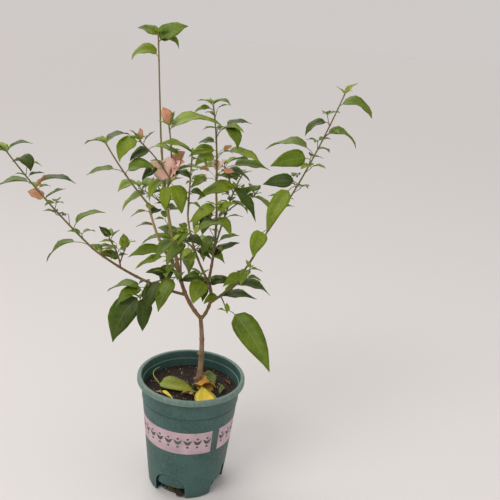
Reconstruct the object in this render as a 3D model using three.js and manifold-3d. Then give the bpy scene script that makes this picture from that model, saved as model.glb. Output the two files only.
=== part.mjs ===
// A young bougainvillea in a nursery pot: pot, soil, fallen leaves, trunk, boughs and foliage.
// Millimetres and degrees, +Z up. The origin is the middle of the pot's flat underside, +X is to the
// right and +Y is away from the front. Headings are azimuths: 0 right, 90 back, 180 left, 270 front.
import * as THREE from 'three';
import { mergeVertices } from 'three/addons/utils/BufferGeometryUtils.js';
import Module from 'manifold-3d';

const wasm = await Module();
wasm.setup();

// Pot
const POT_HEIGHT = 160;
const RIM_RADIUS = 71.5;
const RIM_DEPTH = 7.6;
const RIM_WIDTH = 5.7;
const NECK_RADIUS = 65.4;
const STEP_HEIGHT = 129;
const STEP_RADIUS = 63.6;
const STEP_OUT = 0.8;
const FOOT_RADIUS = 51.2;
const FOOT_ROUND = 3;
const WALL = 1.8;
const FLOOR = 2.5;
const LEDGE_HEIGHT = 149.7;
const LEDGE_RADIUS = 63.6;
const LEDGE_WIDTH = 0.8;
const POT_SIDES = 44;

// Drain notches round the foot
const NOTCH_COUNT = 4;
const NOTCH_FIRST = 251;
const NOTCH_WIDTH = 43;
const NOTCH_HEIGHT = 36;
const NOTCH_SHOULDER = 20;
const NOTCH_SEGMENTS = 3;
const NOTCH_BELOW = 5;
const PANEL_DEPTH = 3;
const PANEL_FOOT_HEIGHT = 15;
const PANEL_WALL = 1.8;
const SLOT_RADIUS = 42;
const SLOT_WIDTH = 32;
const SLOT_TOP = 13;

// Soil
const SOIL_TOP = 139;
const GAP = 0.3;

// Leaves
const STALK_SHARE = 0.2;
const STALK_LIFT = 25;
const STALK_RADIUS = 0.6;
const BLADE_WIDTH = 0.56;
const BLADE_THICKNESS = 0.025;
const BLADE_STATIONS = [0.2, 0.58];
const BLADE_FOLD = 18;

// Seeded foliage
const GOLDEN_ANGLE = 137.5;
const LEAF_CLEARANCE = 7;
const TWIG_CLEARANCE = 3;
const TRIES = 6;

// Limbs: from which limb and at what share of it, where the tip is, how far the middle bows, and the
// radius at the root and at the tip.
const LIMBS = {
  trunk: {
    root: [8, 12, SOIL_TOP - 3], tip: [6, 10, 241], bow: [3.8, 0, 0], radii: [4.1, 2.6], flare: 1.8,
  },
  left_bough: { from: 'trunk', at: 0.97, tip: [-27, 8, 312], bow: [-4, 0, -6], radii: [2.6, 2.4] },
  right_bough: { from: 'trunk', at: 0.95, tip: [13, 10, 292], bow: [8, 0, -1], radii: [2.2, 2] },
  leader: { from: 'left_bough', at: 0.97, tip: [-54, 4, 471], bow: [-3, 0, -3], radii: [2.4, 1.2] },
  upper_left_bough: { from: 'left_bough', at: 0.9, tip: [-64, -6, 389], bow: [-4, 0, -6], radii: [2, 1.4] },
  upper_right_bough: { from: 'right_bough', at: 0.97, tip: [15, 21, 408], bow: [4, 0, 0], radii: [1.9, 1.3] },
  middle_bough: { from: 'right_bough', at: 0.9, tip: [-16, -4, 380], bow: [-6, 0, 2], radii: [1.7, 1.2] },
  right_long_bough: {
    from: 'right_bough', at: 0.45, tip: [83, 25, 358], bow: [3, 0, -11], radii: [1.7, 1.3],
  },
  left_long_bough: {
    from: 'left_bough', at: 0.5, tip: [-129, -11, 327], bow: [0, 0, -8], radii: [2, 1.4],
  },
};
const FLARE_HEIGHT = 8;
const TRUNK_SIDES = 12;
const BOUGH_SIDES = 8;
const LIMB_STEPS = 8;
const STEM_SIDES = 4;
const BRANCH_SIDES = 3;
const TWIG_STEPS = 5;

// A leaf that shows against the light: share along its twig, heading, rise, blade length, the angle
// that the blade arches down through, how far it is rolled about its midrib, its stalk and its breadth.
// A negative share counts along the first branch instead of the stem.
const leaf = (at, heading, rise, length, arch, roll = 0, stalk = STALK_SHARE * length, breadth = 1) => (
  { at, heading, rise, length, arch, roll, stalk, breadth });
const bract = (at, heading, rise, length, arch, roll = 0, breadth = 1.3, stalk = 3) => (
  { at, heading, rise, length, arch, roll, stalk, breadth });

// Foliage: each mass has one stem, branches off it, leaves of its own on the stem or a branch, and
// more by the seeded rule within its reach.
const MASSES = {
  foliage_top: {
    from: 'leader', at: 1, tip: [-61, 1, 588], bow: [0, 0, 0], radii: [1.1, 0.8], seed: 11,
    more: 0, size: 30,
    own: [
      leaf(0.96, 170, 34, 25, 40, -35, 3, 1.2), leaf(0.9, 10, 44, 36, 30, 45, 5, 1.3),
      leaf(0.9, 350, 35, 27, 110, 20),
      leaf(0.75, 185, 38, 34, 110, -35),
    ],
  },
  foliage_upper_left: {
    from: 'upper_left_bough', at: 1, tip: [-114, -20, 462], bow: [-2, 0, -1], radii: [1.3, 0.8], seed: 12,
    more: 0, size: 26,
    own: [
      leaf(0.91, 170, 26, 28, 70, 0, 8), leaf(0.98, 45, 40, 32, 60, 0, 5),
      leaf(0.51, 190, -1, 34, 30, -10, 15, 0.9), leaf(0.51, 350, 40, 36, 60, 40, 7),
    ],
  },
  foliage_upper_right: {
    from: 'upper_right_bough', at: 1, tip: [4, 30, 511], bow: [2, 0, 4], radii: [1.3, 0.8], seed: 13,
    more: 3, size: 24, branches: [[0.02, 350, 5, 26]],
    own: [
      leaf(0.95, 170, 38, 20, 60, 0, 5), leaf(0.98, 350, 49, 24, 100, 10, 3),
      leaf(0.91, 200, 9, 21, 50, -20, 6), leaf(0.82, 140, 35, 16, 60, 0, 4),
      leaf(0.7, 330, -14, 32, 80, 20, 16, 1.1), leaf(0.57, 20, 28, 33, 45, 10, 21, 0.9),
      leaf(0.59, 340, 23, 25, 60, 15, 18), leaf(0.51, 170, 12, 21, 50, -30, 4),
      leaf(0.42, 200, 6, 34, 45, -35, 4, 0.9), leaf(0.35, 215, 6, 30, 60, -40, 5),
      leaf(0.37, 345, 4, 45, 35, 12, 17, 0.95), leaf(0.15, 10, 10, 46, 30, 20, 26, 0.8),
      leaf(0.08, 335, -31, 50, 35, 20, 26, 0.6), leaf(0.12, 20, 7, 34, 60, 20, 17),
      leaf(0.1, 190, -12, 25, 50, -35, 12, 1.1), leaf(-0.97, 190, 5, 50, 55, -35, 3, 0.75),
      leaf(0.03, 350, 14, 29, 30, 25, 3, 0.6), bract(0.08, 190, 30, 12, 20, -40, 1.1, 18),
      bract(0.2, 160, 62, 16, 15, -30, 0.9, 2), bract(0.2, 20, 62, 17, 15, 30, 0.9, 2),
      bract(0.19, 95, 72, 15, 15, 0, 0.9, 2), bract(0.36, 352, 30, 12, 10, 60, 1, 13),
      bract(0.16, 352, 12, 14, 20, 60, 1, 10),
    ],
  },
  foliage_right: {
    from: 'right_long_bough', at: 1, tip: [162, 40, 537], bow: [2, 0, -8], radii: [1.3, 0.8], seed: 14,
    more: 3, size: 26,
    own: [
      leaf(0.99, 20, 52, 20, 30, 15, 3, 0.8), leaf(0.91, 340, 27, 45, 90, 22, 7, 0.95),
      leaf(0.81, 195, 1, 33, 75, -20, 7, 0.9), leaf(0.72, 10, 24, 46, 95, 18, 9, 0.8),
      leaf(0.6, 160, 20, 58, 60, -10, 14, 0.8), leaf(0.57, 200, -1, 48, 25, -60, 9, 0.9),
      leaf(0.4, 170, 0, 40, 25, -60, 7, 0.9), leaf(0.39, 215, -46, 59, 30, -40, 14, 0.7),
      leaf(0.02, 240, -26, 36, 60, -25, 14, 1.1),
    ],
  },
  foliage_left: {
    from: 'left_long_bough', at: 1, tip: [-226, -33, 446], bow: [-3, 0, -2], radii: [1.3, 0.8], seed: 15,
    more: 2, size: 26,
    own: [
      leaf(0.02, 190, -6, 46, 66, 0, 22, 0.9), leaf(0.22, 20, 51, 40, 60, 0, 8),
      leaf(0.54, 350, 39, 28, 20, 10, 3, 0.9), leaf(0.65, 10, 29, 42, 60, 0, 10),
      leaf(0.68, 190, 6, 43, 40, 0, 7), leaf(0.9, 330, 9, 25, 90, 10, 11, 1.5),
      leaf(0.98, 20, 44, 28, 60, 0, 5), leaf(0.95, 170, 18, 34, 50), leaf(0.99, 200, 8, 26, 50, -20, 4),
      bract(0.54, 200, 30, 20, 20, -50), bract(0.64, 30, 62, 18, 20, 20, 0.8),
    ],
  },
  foliage_left_inner: {
    from: 'left_long_bough', at: 0.72, tip: [-113, -2, 341], bow: [3, 0, 0], radii: [1.1, 0.8], seed: 16,
    more: 3, size: 20, branches: [[0.15, 25, 70, 26], [0.3, 235, 25, 34]],
    own: [
      leaf(0.96, 160, 46, 19, 20, -30, 3), leaf(0.89, 20, 53, 13, 20, 0, 6),
      leaf(0.6, 200, 20, 22, 40, 0, 5), leaf(0.22, 190, 35, 27, 40, -30, 4),
      leaf(-0.62, 110, 62, 21, 30, 0, 3, 1.2), bract(0.6, 200, 10, 16, 30),
    ],
  },
  foliage_low_left: {
    from: 'left_long_bough', at: 0.42, tip: [-68, -24, 272], bow: [0, 0, 1], radii: [1.3, 0.9], seed: 17,
    more: 3, size: 32, branches: [[0.3, 352, 24, 46]],
    own: [
      leaf(0.86, 205, -43, 67, 40, -45, 5), leaf(0.72, 285, -55, 42, 40, -20, 8),
      leaf(0.65, 170, 14, 45, 60, 0, 8), leaf(0.4, 215, -10, 38, 40, -20, 6),
      leaf(-0.95, 225, -42, 46, 40, -20, 6, 0.9), leaf(-0.7, 190, 25, 26, 40, -30, 6),
      leaf(-0.5, 230, -45, 42, 40, -20, 5, 0.8), leaf(-0.2, 265, -42, 34, 40, -10, 5),
    ],
  },
  foliage_low_right: {
    from: 'right_long_bough', at: 0.13, tip: [66, 2, 315], bow: [-1, 0, -6], radii: [1.2, 0.9], seed: 18,
    more: 0, size: 30, branches: [[0.1, 300, -35, 26]],
    own: [
      leaf(0.03, 350, 18, 48, 30, 10, 4, 0.8), leaf(0.45, 10, 12, 48, 60, 10, 10, 0.9),
      leaf(0.96, 250, -3, 27, 60), leaf(0.97, 20, 0, 16, 30), leaf(0.85, 200, -17, 29, 30, -30, 4),
      leaf(-0.87, 322, -27, 86, 30, 40, 14, 0.7), leaf(0.05, 215, 2, 22, 50, -30, 4),
      leaf(0.22, 0, 52, 32, 20, 25, 3, 0.6),
    ],
  },
  foliage_fork: {
    from: 'right_bough', at: 0.8, tip: [6, -16, 306], bow: [0, 0, 3], radii: [1.1, 0.8], seed: 27,
    more: 0, size: 28,
    own: [
      leaf(0.5, 235, -30, 32, 50, -20, 5, 1.4), leaf(0.3, 250, -50, 22, 30, 0, 4),
      leaf(0.15, 5, 38, 30, 60, 25, 3, 1.1), leaf(0.05, 187, 34, 42, 55, -25, 3, 0.75),
      leaf(0.9, 185, 5, 24, 50, -20, 4, 0.9),
    ],
  },
  foliage_blossom: {
    from: 'leader', at: 0.6, tip: [-43, -8, 486], bow: [5, 0, -7], radii: [1.2, 0.8], seed: 19,
    more: 0, size: 24, branches: [[0.3, 195, 49, 58]],
    own: [
      bract(0.99, 150, 70, 22, 20, -30, 1.3), leaf(0.97, 60, 66, 16, 20, 0, 7),
      leaf(0.95, 10, 42, 64, 70, 14, 3, 0.8), bract(0.25, 190, 50, 31, 14, -80, 1.35),
      bract(0.29, 325, 62, 27, 14, 68, 1.2), bract(0.22, 270, 76, 33, 12, 0, 1.4),
      bract(0.5, 15, 55, 22, 20, 50, 1.2), bract(0.42, 335, 40, 20, 20, 45, 1.1, 5),
      leaf(0.21, 310, -30, 38, 50, 10, 10, 1.1), leaf(-0.2, 200, -20, 24, 40, -30, 8, 1.2),
      leaf(0.25, 262, -60, 32, 50, 0, 9, 0.9), leaf(0.28, 200, -30, 33, 60, -20, 8),
      leaf(-0.93, 195, -8, 36, 90, -45, 5, 1.1), leaf(-0.62, 190, -5, 26, 50, -35, 3, 1.2),
      leaf(-0.9, 170, 25, 18, 40, 0, 5), leaf(-0.85, 10, 55, 16, 20, 0, 6),
      leaf(-0.97, 190, 52, 15, 30, 0, 4), leaf(-0.7, 350, 10, 36, 50, 10, 8, 0.8),
      bract(-0.95, 265, 80, 15, 10, 0, 0.8),
    ],
  },
  foliage_middle: {
    from: 'middle_bough', at: 1, tip: [-15, -2, 456], bow: [0, 0, 0], radii: [1.2, 0.8], seed: 20,
    more: 7, size: 24,
    own: [
      leaf(0.52, 10, 42, 20, 40), leaf(0.98, 208, 36, 44, 45, -15, 3, 0.8),
      leaf(0.55, 190, 58, 26, 115, -20, 3), leaf(0.38, 345, 8, 20, 45, 30, 2),
    ],
  },
  foliage_middle_right: {
    from: 'upper_right_bough', at: 0.25, tip: [19, -6, 394], bow: [1, 0, 1], radii: [1.2, 0.8], seed: 21,
    more: 3, size: 24,
    own: [
      leaf(0.8, 190, 4, 32, 50, -30, 5), leaf(0.72, 250, 5, 36, 50, 0, 9),
      leaf(0.75, 320, -4, 29, 60, 15, 3), leaf(0.68, 20, 47, 19, 30, 0, 8),
      leaf(0.42, 240, -9, 32, 60, 0, 3), leaf(0.19, 350, 37, 27, 30, 10, 14),
      leaf(0.03, 5, 48, 38, 35, 20, 3, 0.8), leaf(0.98, 200, -8, 42, 80, -35, 2, 0.75),
      leaf(0.9, 215, -45, 26, 50, -10, 10, 1.2), leaf(0.88, 5, 40, 24, 20, 35, 3),
      leaf(0.36, 195, -12, 24, 40, 30, 3, 1.2),
    ],
  },
  foliage_middle_left: {
    from: 'upper_left_bough', at: 0.12, tip: [-67, 16, 376], bow: [-3, 4, -3], radii: [1.1, 0.8], seed: 22,
    more: 3, size: 24,
    own: [
      leaf(0.96, 190, -4, 21, 40, 0, 5), leaf(0.72, 180, 9, 22, 40, 0, 3),
      leaf(0.5, 190, -5, 22, 50, 0, 4), leaf(0.22, 200, 8, 44, 40, -30, 9, 0.75),
      leaf(0.12, 205, -8, 38, 30, -20, 11, 0.6), leaf(0.04, 245, -45, 30, 35, -10, 6, 1.2),
      leaf(0.02, 240, -35, 20, 40, 0, 4, 1.1), leaf(0.52, 315, 20, 22, 40, 20, 3, 1.1),
      leaf(0.36, 10, 5, 20, 50, 20, 3, 1.1),
    ],
  },
  foliage_back_left: {
    from: 'leader', at: 0.22, tip: [-66, 78, 392], bow: [0, 0, 10], radii: [1.4, 0.8], seed: 23,
    more: 12, size: 34, branches: [[0.45, 160, 25, 46], [0.7, 60, 40, 40]], own: [],
  },
  foliage_back_right: {
    from: 'upper_right_bough', at: 0.35, tip: [44, 96, 414], bow: [0, 0, 10], radii: [1.4, 0.8], seed: 24,
    more: 12, size: 34, branches: [[0.4, 20, 30, 44], [0.65, 120, 45, 44]],
    own: [
      leaf(0.84, 190, 34, 28, 50, -20, 4, 1.1),
    ],
  },
  foliage_back_low: {
    from: 'left_bough', at: 0.75, tip: [-34, 84, 312], bow: [0, 0, 8], radii: [1.3, 0.8], seed: 25,
    more: 9, size: 36, branches: [[0.5, 40, 10, 40]], own: [],
  },
  foliage_front: {
    from: 'middle_bough', at: 0.45, tip: [-24, -76, 366], bow: [0, 0, 8], radii: [1.3, 0.8], seed: 26,
    more: 9, size: 34, branches: [[0.5, 300, 30, 34]],
    own: [
      leaf(0.05, 255, -45, 18, 30, 0, 3, 1.2), leaf(0.03, 350, -5, 22, 40, 20, 3),
      leaf(0.1, 210, -25, 18, 40, -20, 3, 1.1),
    ],
  },
};

const POT_GREEN = 0x3b5550;
const SOIL_BROWN = 0x2a1d14;
const BARK_BROWN = 0x7d644e;
const LEAF_GREEN = 0x5f7420;
const LEAF_YELLOW = 0xc9b13a;
const LEAF_OCHRE = 0xb07a35;
const LEAF_OLIVE = 0x7d7f22;

const toRad = THREE.MathUtils.degToRad;
const point = ([x, y, z]) => new THREE.Vector3(x, y, z);

function unit(heading, rise) {
  const level = Math.cos(toRad(rise));
  return new THREE.Vector3(
    level * Math.cos(toRad(heading)), level * Math.sin(toRad(heading)), Math.sin(toRad(rise)));
}

// A closed BufferGeometry as a solid, and a solid as a BufferGeometry again
function solidOf(geometry) {
  const bare = geometry.clone();
  bare.deleteAttribute('normal');
  bare.deleteAttribute('uv');
  const merged = mergeVertices(bare, 1e-4);
  return new wasm.Manifold(new wasm.Mesh({
    numProp: 3,
    vertProperties: new Float32Array(merged.attributes.position.array),
    triVerts: new Uint32Array(merged.index.array),
  }));
}

function geometryOf(solid) {
  const mesh = solid.getMesh();
  const geometry = new THREE.BufferGeometry();
  geometry.setAttribute('position', new THREE.BufferAttribute(new Float32Array(mesh.vertProperties), 3));
  geometry.setIndex(new THREE.BufferAttribute(new Uint32Array(mesh.triVerts), 1));
  geometry.computeVertexNormals();
  return geometry;
}

function joined(solids) {
  return solids.reduce((whole, solid) => whole.add(solid));
}

// A solid turned round the pot's axis from a profile of radius and height, from the axis at the foot
// to the axis at the top.
function turned(profile, sides = POT_SIDES) {
  const outline = profile.map(([radius, height]) => new THREE.Vector2(radius, height));
  return solidOf(new THREE.LatheGeometry(outline, sides).rotateX(Math.PI / 2));
}

// A solid lofted through rings of the same number of points, from a flat end to a flat or pointed one
function lofted(rings, end = null) {
  const sides = rings[0].length;
  const positions = [...rings.flat(), ...(end ? [end] : [])].flatMap((corner) => corner.toArray());
  const index = [];
  for (let ring = 0; ring + 1 < rings.length; ring += 1) {
    for (let side = 0; side < sides; side += 1) {
      const a = ring * sides + side;
      const b = ring * sides + (side + 1) % sides;
      index.push(a, b, b + sides, a, b + sides, a + sides);
    }
  }
  const last = (rings.length - 1) * sides;
  for (let side = 1; side + 1 < sides; side += 1) {
    index.push(0, side + 1, side);
    if (!end) {
      index.push(last, last + side, last + side + 1);
    }
  }
  for (let side = 0; end && side < sides; side += 1) {
    index.push(last + side, last + (side + 1) % sides, last + sides);
  }
  const geometry = new THREE.BufferGeometry();
  geometry.setAttribute('position', new THREE.Float32BufferAttribute(positions, 3));
  geometry.setIndex(index);
  return solidOf(geometry);
}

// A limb's centre line: straight from root to tip, with its middle bowed
function along(line, share) {
  const middle = line.bow.clone().multiplyScalar(4 * share * (1 - share));
  return line.root.clone().lerp(line.tip, share).add(middle);
}

function tapered(line, share) {
  return THREE.MathUtils.lerp(line.radii[0], line.radii[1], share);
}

function limbSolid(line, sides, steps, extra) {
  const rings = [];
  let across = null;
  for (let step = 0; step <= steps; step += 1) {
    const share = step / steps;
    const centre = along(line, share);
    const ahead = along(line, Math.min(1, share + 0.01)).sub(along(line, Math.max(0, share - 0.01)));
    ahead.normalize();
    across = across ?? new THREE.Vector3(0.31, 0.95, 0.02);
    across.addScaledVector(ahead, -across.dot(ahead)).normalize();
    const beside = ahead.clone().cross(across);
    const flare = line.flare ? line.flare * Math.exp(-(centre.z - line.root.z) / FLARE_HEIGHT) : 0;
    const radius = tapered(line, share) + flare + extra;
    const ring = [];
    for (let side = 0; side < sides; side += 1) {
      const turn = (2 * Math.PI * side) / sides;
      ring.push(centre.clone()
        .addScaledVector(across, radius * Math.cos(turn))
        .addScaledVector(beside, radius * Math.sin(turn)));
    }
    rings.push(ring);
  }
  return lofted(rings);
}

// Where a leaf's stalk ends and its blade starts, and the blade's midrib at a share of its length
function bladeBase(root, spec) {
  return root.clone().addScaledVector(unit(spec.heading, spec.rise + STALK_LIFT), spec.stalk);
}

function midrib(base, spec, share) {
  const start = toRad(spec.rise);
  const bend = toRad(spec.arch);
  const end = start - bend * share;
  const out = ((Math.sin(start) - Math.sin(end)) / bend) * spec.length;
  const up = ((Math.cos(end) - Math.cos(start)) / bend) * spec.length;
  return base.clone().add(new THREE.Vector3(
    out * Math.cos(toRad(spec.heading)), out * Math.sin(toRad(spec.heading)), up));
}

// Half the blade's width at a share of its length: broad near the stalk, with a long fine tip
function halfWidth(spec, share) {
  const swell = (share ** 0.55) * ((1 - share) ** 1.2) / 0.337;
  return 0.5 * BLADE_WIDTH * spec.breadth * spec.length * swell;
}

// The blade's left side and its upper face's normal at a share of its length
function bladeFrame(spec, share) {
  const ahead = unit(spec.heading, spec.rise - spec.arch * share);
  const level = new THREE.Vector3(-Math.sin(toRad(spec.heading)), Math.cos(toRad(spec.heading)), 0);
  const left = level.applyAxisAngle(ahead, toRad(spec.roll));
  return { left, face: ahead.clone().cross(left) };
}

function bladeEdge(base, spec, share, hand) {
  const { left, face } = bladeFrame(spec, share);
  const reach = halfWidth(spec, share);
  return midrib(base, spec, share)
    .addScaledVector(left, hand * reach * Math.cos(toRad(BLADE_FOLD)))
    .addScaledVector(face, reach * Math.sin(toRad(BLADE_FOLD)));
}

// A leaf in one piece: a thin stalk that opens into a folded blade with a fine tip
function leafSolid(root, spec) {
  const base = bladeBase(root, spec);
  const { left, face } = bladeFrame(spec, 0);
  const stalkRing = (centre) => [left, face, left.clone().negate(), face.clone().negate()].map(
    (way) => centre.clone().addScaledVector(way, STALK_RADIUS));
  const rings = [stalkRing(root), stalkRing(base)];
  const half = 0.5 * BLADE_THICKNESS * spec.length;
  for (const share of BLADE_STATIONS) {
    const up = bladeFrame(spec, share).face;
    const middle = midrib(base, spec, share);
    rings.push([
      bladeEdge(base, spec, share, 1), middle.clone().addScaledVector(up, half),
      bladeEdge(base, spec, share, -1), middle.clone().addScaledVector(up, -half)]);
  }
  return lofted(rings, midrib(base, spec, 1));
}

// Points that stand for a blade when leaves are kept apart
function bladePoints(root, spec) {
  const base = bladeBase(root, spec);
  const points = [];
  for (const share of [0.05, 0.25, 0.45, 0.65, 0.85, 1]) {
    points.push(midrib(base, spec, share));
    points.push(bladeEdge(base, spec, share, 0.8));
    points.push(bladeEdge(base, spec, share, -0.8));
  }
  return points;
}

// A seeded stream of numbers from 0 to 1
function seeded(seed) {
  let state = seed;
  const draw = () => {
    state = (state * 1664525 + 1013904223) % 4294967296;
    return state / 4294967296;
  };
  draw();
  draw();
  return draw;
}

function lineOf(row, parent) {
  const root = parent ? along(parent, row.at) : point(row.root);
  return { root, tip: point(row.tip), bow: point(row.bow), radii: row.radii, flare: row.flare };
}

const limbLines = {};
for (const [name, row] of Object.entries(LIMBS)) {
  limbLines[name] = lineOf(row, limbLines[row.from]);
}

// What is already in place: points with the node that they belong to and the clearance they need
const taken = [];
function take(owner, points, clearance) {
  for (const spot of points) {
    taken.push({ owner, spot, clearance });
  }
}

function linePoints(line) {
  const steps = Math.ceil(line.root.distanceTo(line.tip) / 4);
  return Array.from({ length: steps + 1 }, (_, step) => along(line, step / steps));
}

function isFree(owner, points) {
  for (const other of taken) {
    if (other.owner !== owner || other.clearance === LEAF_CLEARANCE) {
      if (points.some((spot) => spot.distanceTo(other.spot) < other.clearance)) {
        return false;
      }
    }
  }
  return true;
}

for (const [name, line] of Object.entries(limbLines)) {
  take(name, linePoints(line), TWIG_CLEARANCE + line.radii[0]);
}

// Each mass's stem and branches
const masses = {};
for (const [name, row] of Object.entries(MASSES)) {
  const stem = lineOf(row, limbLines[row.from]);
  const twigs = [stem];
  for (const [at, heading, rise, length] of row.branches ?? []) {
    const root = along(stem, at);
    const tip = root.clone().addScaledVector(unit(heading, rise), length);
    const radius = 0.85 * tapered(stem, at);
    twigs.push({ root, tip, bow: new THREE.Vector3(0, 0, 0.06 * length), radii: [radius, 0.7] });
  }
  for (const twig of twigs) {
    take(name, linePoints(twig), TWIG_CLEARANCE);
  }
  masses[name] = { twigs, leaves: [] };
}

// The leaves that show against the light come first, so that the rest keep clear of them
for (const [name, row] of Object.entries(MASSES)) {
  const { twigs, leaves } = masses[name];
  for (const spec of row.own) {
    leaves.push({ root: along(twigs[spec.at < 0 ? 1 : 0], Math.abs(spec.at)), spec });
  }
  for (const { root, spec } of leaves) {
    take(name, bladePoints(root, spec), LEAF_CLEARANCE);
  }
}

// The seeded rule: leaves stand round a twig by the golden angle, lean along it and upwards, and one
// that would touch another leaf, a limb or another mass is turned on, or left out after some tries.
for (const [name, row] of Object.entries(MASSES)) {
  const { twigs, leaves } = masses[name];
  const draw = seeded(row.seed);
  for (let number = 0; number < row.more; number += 1) {
    const twig = twigs[(number + 1) % twigs.length];
    const round = Math.floor(number / twigs.length);
    for (let attempt = 0; attempt < TRIES; attempt += 1) {
      const at = Math.max(0.15, 1 - 0.17 * round - 0.15 * draw());
      const turn = toRad(GOLDEN_ANGLE * (number + attempt) + 40 * draw());
      const ahead = twig.tip.clone().sub(twig.root).normalize();
      const across = new THREE.Vector3(-ahead.y, ahead.x, 0.001).normalize();
      const beside = ahead.clone().cross(across);
      const way = across.multiplyScalar(Math.cos(turn)).addScaledVector(beside, Math.sin(turn));
      way.addScaledVector(ahead, 0.5).add(new THREE.Vector3(0, 0, 0.3)).normalize();
      const heading = THREE.MathUtils.radToDeg(Math.atan2(way.y, way.x));
      const rise = THREE.MathUtils.radToDeg(Math.asin(way.z)) * 0.7;
      const length = row.size * (0.8 + 0.4 * draw());
      const spec = leaf(at, heading, rise, length, 40 + 40 * draw(), 50 * draw() - 25);
      const root = along(twig, at);
      const points = bladePoints(root, spec);
      if (isFree(name, points)) {
        leaves.push({ root, spec });
        take(name, points, LEAF_CLEARANCE);
        break;
      }
    }
  }
}

// Pot: a thin turned shell with a rolled rim, an inner ledge and a faint outer step, and notches cut
// round the foot, each closed behind by a set-back panel that leaves a drain slot under it.
function outerRadius(height) {
  return THREE.MathUtils.lerp(FOOT_RADIUS, STEP_RADIUS, height / STEP_HEIGHT);
}

function innerRadius(height) {
  return THREE.MathUtils.lerp(FOOT_RADIUS - WALL, LEDGE_RADIUS, height / LEDGE_HEIGHT);
}

function potProfile() {
  const neck = POT_HEIGHT - RIM_DEPTH;
  const profile = [[0, 0], [FOOT_RADIUS - FOOT_ROUND, 0]];
  profile.push([FOOT_RADIUS - FOOT_ROUND * 0.3, FOOT_ROUND * 0.3], [outerRadius(FOOT_ROUND), FOOT_ROUND]);
  profile.push([STEP_RADIUS, STEP_HEIGHT], [STEP_RADIUS + STEP_OUT, STEP_HEIGHT + 1], [NECK_RADIUS, neck]);
  profile.push([RIM_RADIUS - 0.5, neck], [RIM_RADIUS, neck + 1.5], [RIM_RADIUS - 0.4, POT_HEIGHT - 1.5]);
  profile.push([RIM_RADIUS - 1.8, POT_HEIGHT], [RIM_RADIUS - RIM_WIDTH + 0.8, POT_HEIGHT], [0, POT_HEIGHT]);
  return profile;
}

// The pot's inside up to a height, drawn in from the wall and the floor by an inset
function insideProfile(inset, top) {
  const profile = [[0, FLOOR + inset], [innerRadius(FLOOR) - FOOT_ROUND - inset, FLOOR + inset]];
  profile.push([innerRadius(FLOOR + FOOT_ROUND) - inset, FLOOR + FOOT_ROUND + inset]);
  if (top > LEDGE_HEIGHT) {
    profile.push([LEDGE_RADIUS, LEDGE_HEIGHT], [LEDGE_RADIUS + LEDGE_WIDTH, LEDGE_HEIGHT]);
    profile.push([RIM_RADIUS - RIM_WIDTH, POT_HEIGHT - 1], [RIM_RADIUS - RIM_WIDTH, top], [0, top]);
    return profile;
  }
  profile.push([innerRadius(top) - inset, top], [0, top]);
  return profile;
}

// The notch's space at a heading, grown by a margin: an arch pushed in from outside as far as a turned
// core, which is the panel a little behind the wall and the deeper step of the drain slot under it
function notchSpace(heading, margin) {
  const half = NOTCH_WIDTH / 2 + margin;
  const top = NOTCH_HEIGHT + margin;
  const shoulder = NOTCH_SHOULDER + margin;
  const arch = new THREE.Shape();
  arch.moveTo(-half, -NOTCH_BELOW);
  arch.lineTo(half, -NOTCH_BELOW);
  arch.lineTo(half, top - shoulder);
  arch.absarc(half - shoulder, top - shoulder, shoulder, 0, Math.PI / 2);
  arch.absarc(shoulder - half, top - shoulder, shoulder, Math.PI / 2, Math.PI);
  const extrusion = { depth: RIM_RADIUS, bevelEnabled: false, curveSegments: NOTCH_SEGMENTS };
  const prism = new THREE.ExtrudeGeometry(arch, extrusion);
  prism.rotateX(Math.PI / 2).rotateZ(Math.PI / 2).translate(SLOT_RADIUS / 2, 0, 0);
  const above = 1.5 * NOTCH_HEIGHT;
  const core = [[0, -NOTCH_BELOW - 1], [SLOT_RADIUS - margin, -NOTCH_BELOW - 1]];
  core.push([SLOT_RADIUS - margin, PANEL_FOOT_HEIGHT + margin]);
  for (const height of [PANEL_FOOT_HEIGHT + margin, above]) {
    core.push([outerRadius(height) - PANEL_DEPTH - margin, height]);
  }
  core.push([0, above]);
  return solidOf(prism.rotateZ(toRad(heading))).subtract(turned(core, POT_SIDES / 2));
}

function notchHeadings() {
  return Array.from({ length: NOTCH_COUNT }, (_, number) => NOTCH_FIRST + (360 / NOTCH_COUNT) * number);
}

function potSolid() {
  const outer = turned(potProfile());
  let shell = outer.subtract(turned(insideProfile(0, POT_HEIGHT + 1)));
  for (const heading of notchHeadings()) {
    const slot = new THREE.BoxGeometry(6 * PANEL_WALL, SLOT_WIDTH, SLOT_TOP - FLOOR);
    slot.translate(SLOT_RADIUS, 0, (SLOT_TOP + FLOOR) / 2).rotateZ(toRad(heading));
    const panel = notchSpace(heading, PANEL_WALL).intersect(outer);
    shell = shell.add(panel).subtract(notchSpace(heading, 0)).subtract(solidOf(slot));
  }
  return shell;
}

function soilSolid() {
  let soil = turned(insideProfile(GAP, SOIL_TOP));
  for (const heading of notchHeadings()) {
    soil = soil.subtract(notchSpace(heading, PANEL_WALL + GAP));
  }
  return soil;
}

// Limbs are cut 0.3 mm clear of what they grow from and of the limbs made before them, and the trunk
// is cut off flat at the soil.
function boughSolid(name, extra) {
  return limbSolid(limbLines[name], name === 'trunk' ? TRUNK_SIDES : BOUGH_SIDES, LIMB_STEPS, extra);
}

function limbSolids() {
  const solids = {};
  const below = new THREE.BoxGeometry(RIM_RADIUS, RIM_RADIUS, SOIL_TOP);
  below.translate(0, 0, GAP + SOIL_TOP / 2);
  for (const name of Object.keys(LIMBS)) {
    let solid = boughSolid(name, 0).subtract(solidOf(below));
    for (const earlier of Object.keys(solids)) {
      solid = solid.subtract(boughSolid(earlier, GAP));
    }
    solids[name] = largest(solid);
  }
  return solids;
}

// The largest body of a solid, without loose scraps
function largest(solid) {
  const bodies = solid.decompose();
  return bodies.reduce((best, body) => (body.volume() > best.volume() ? body : best));
}

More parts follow.
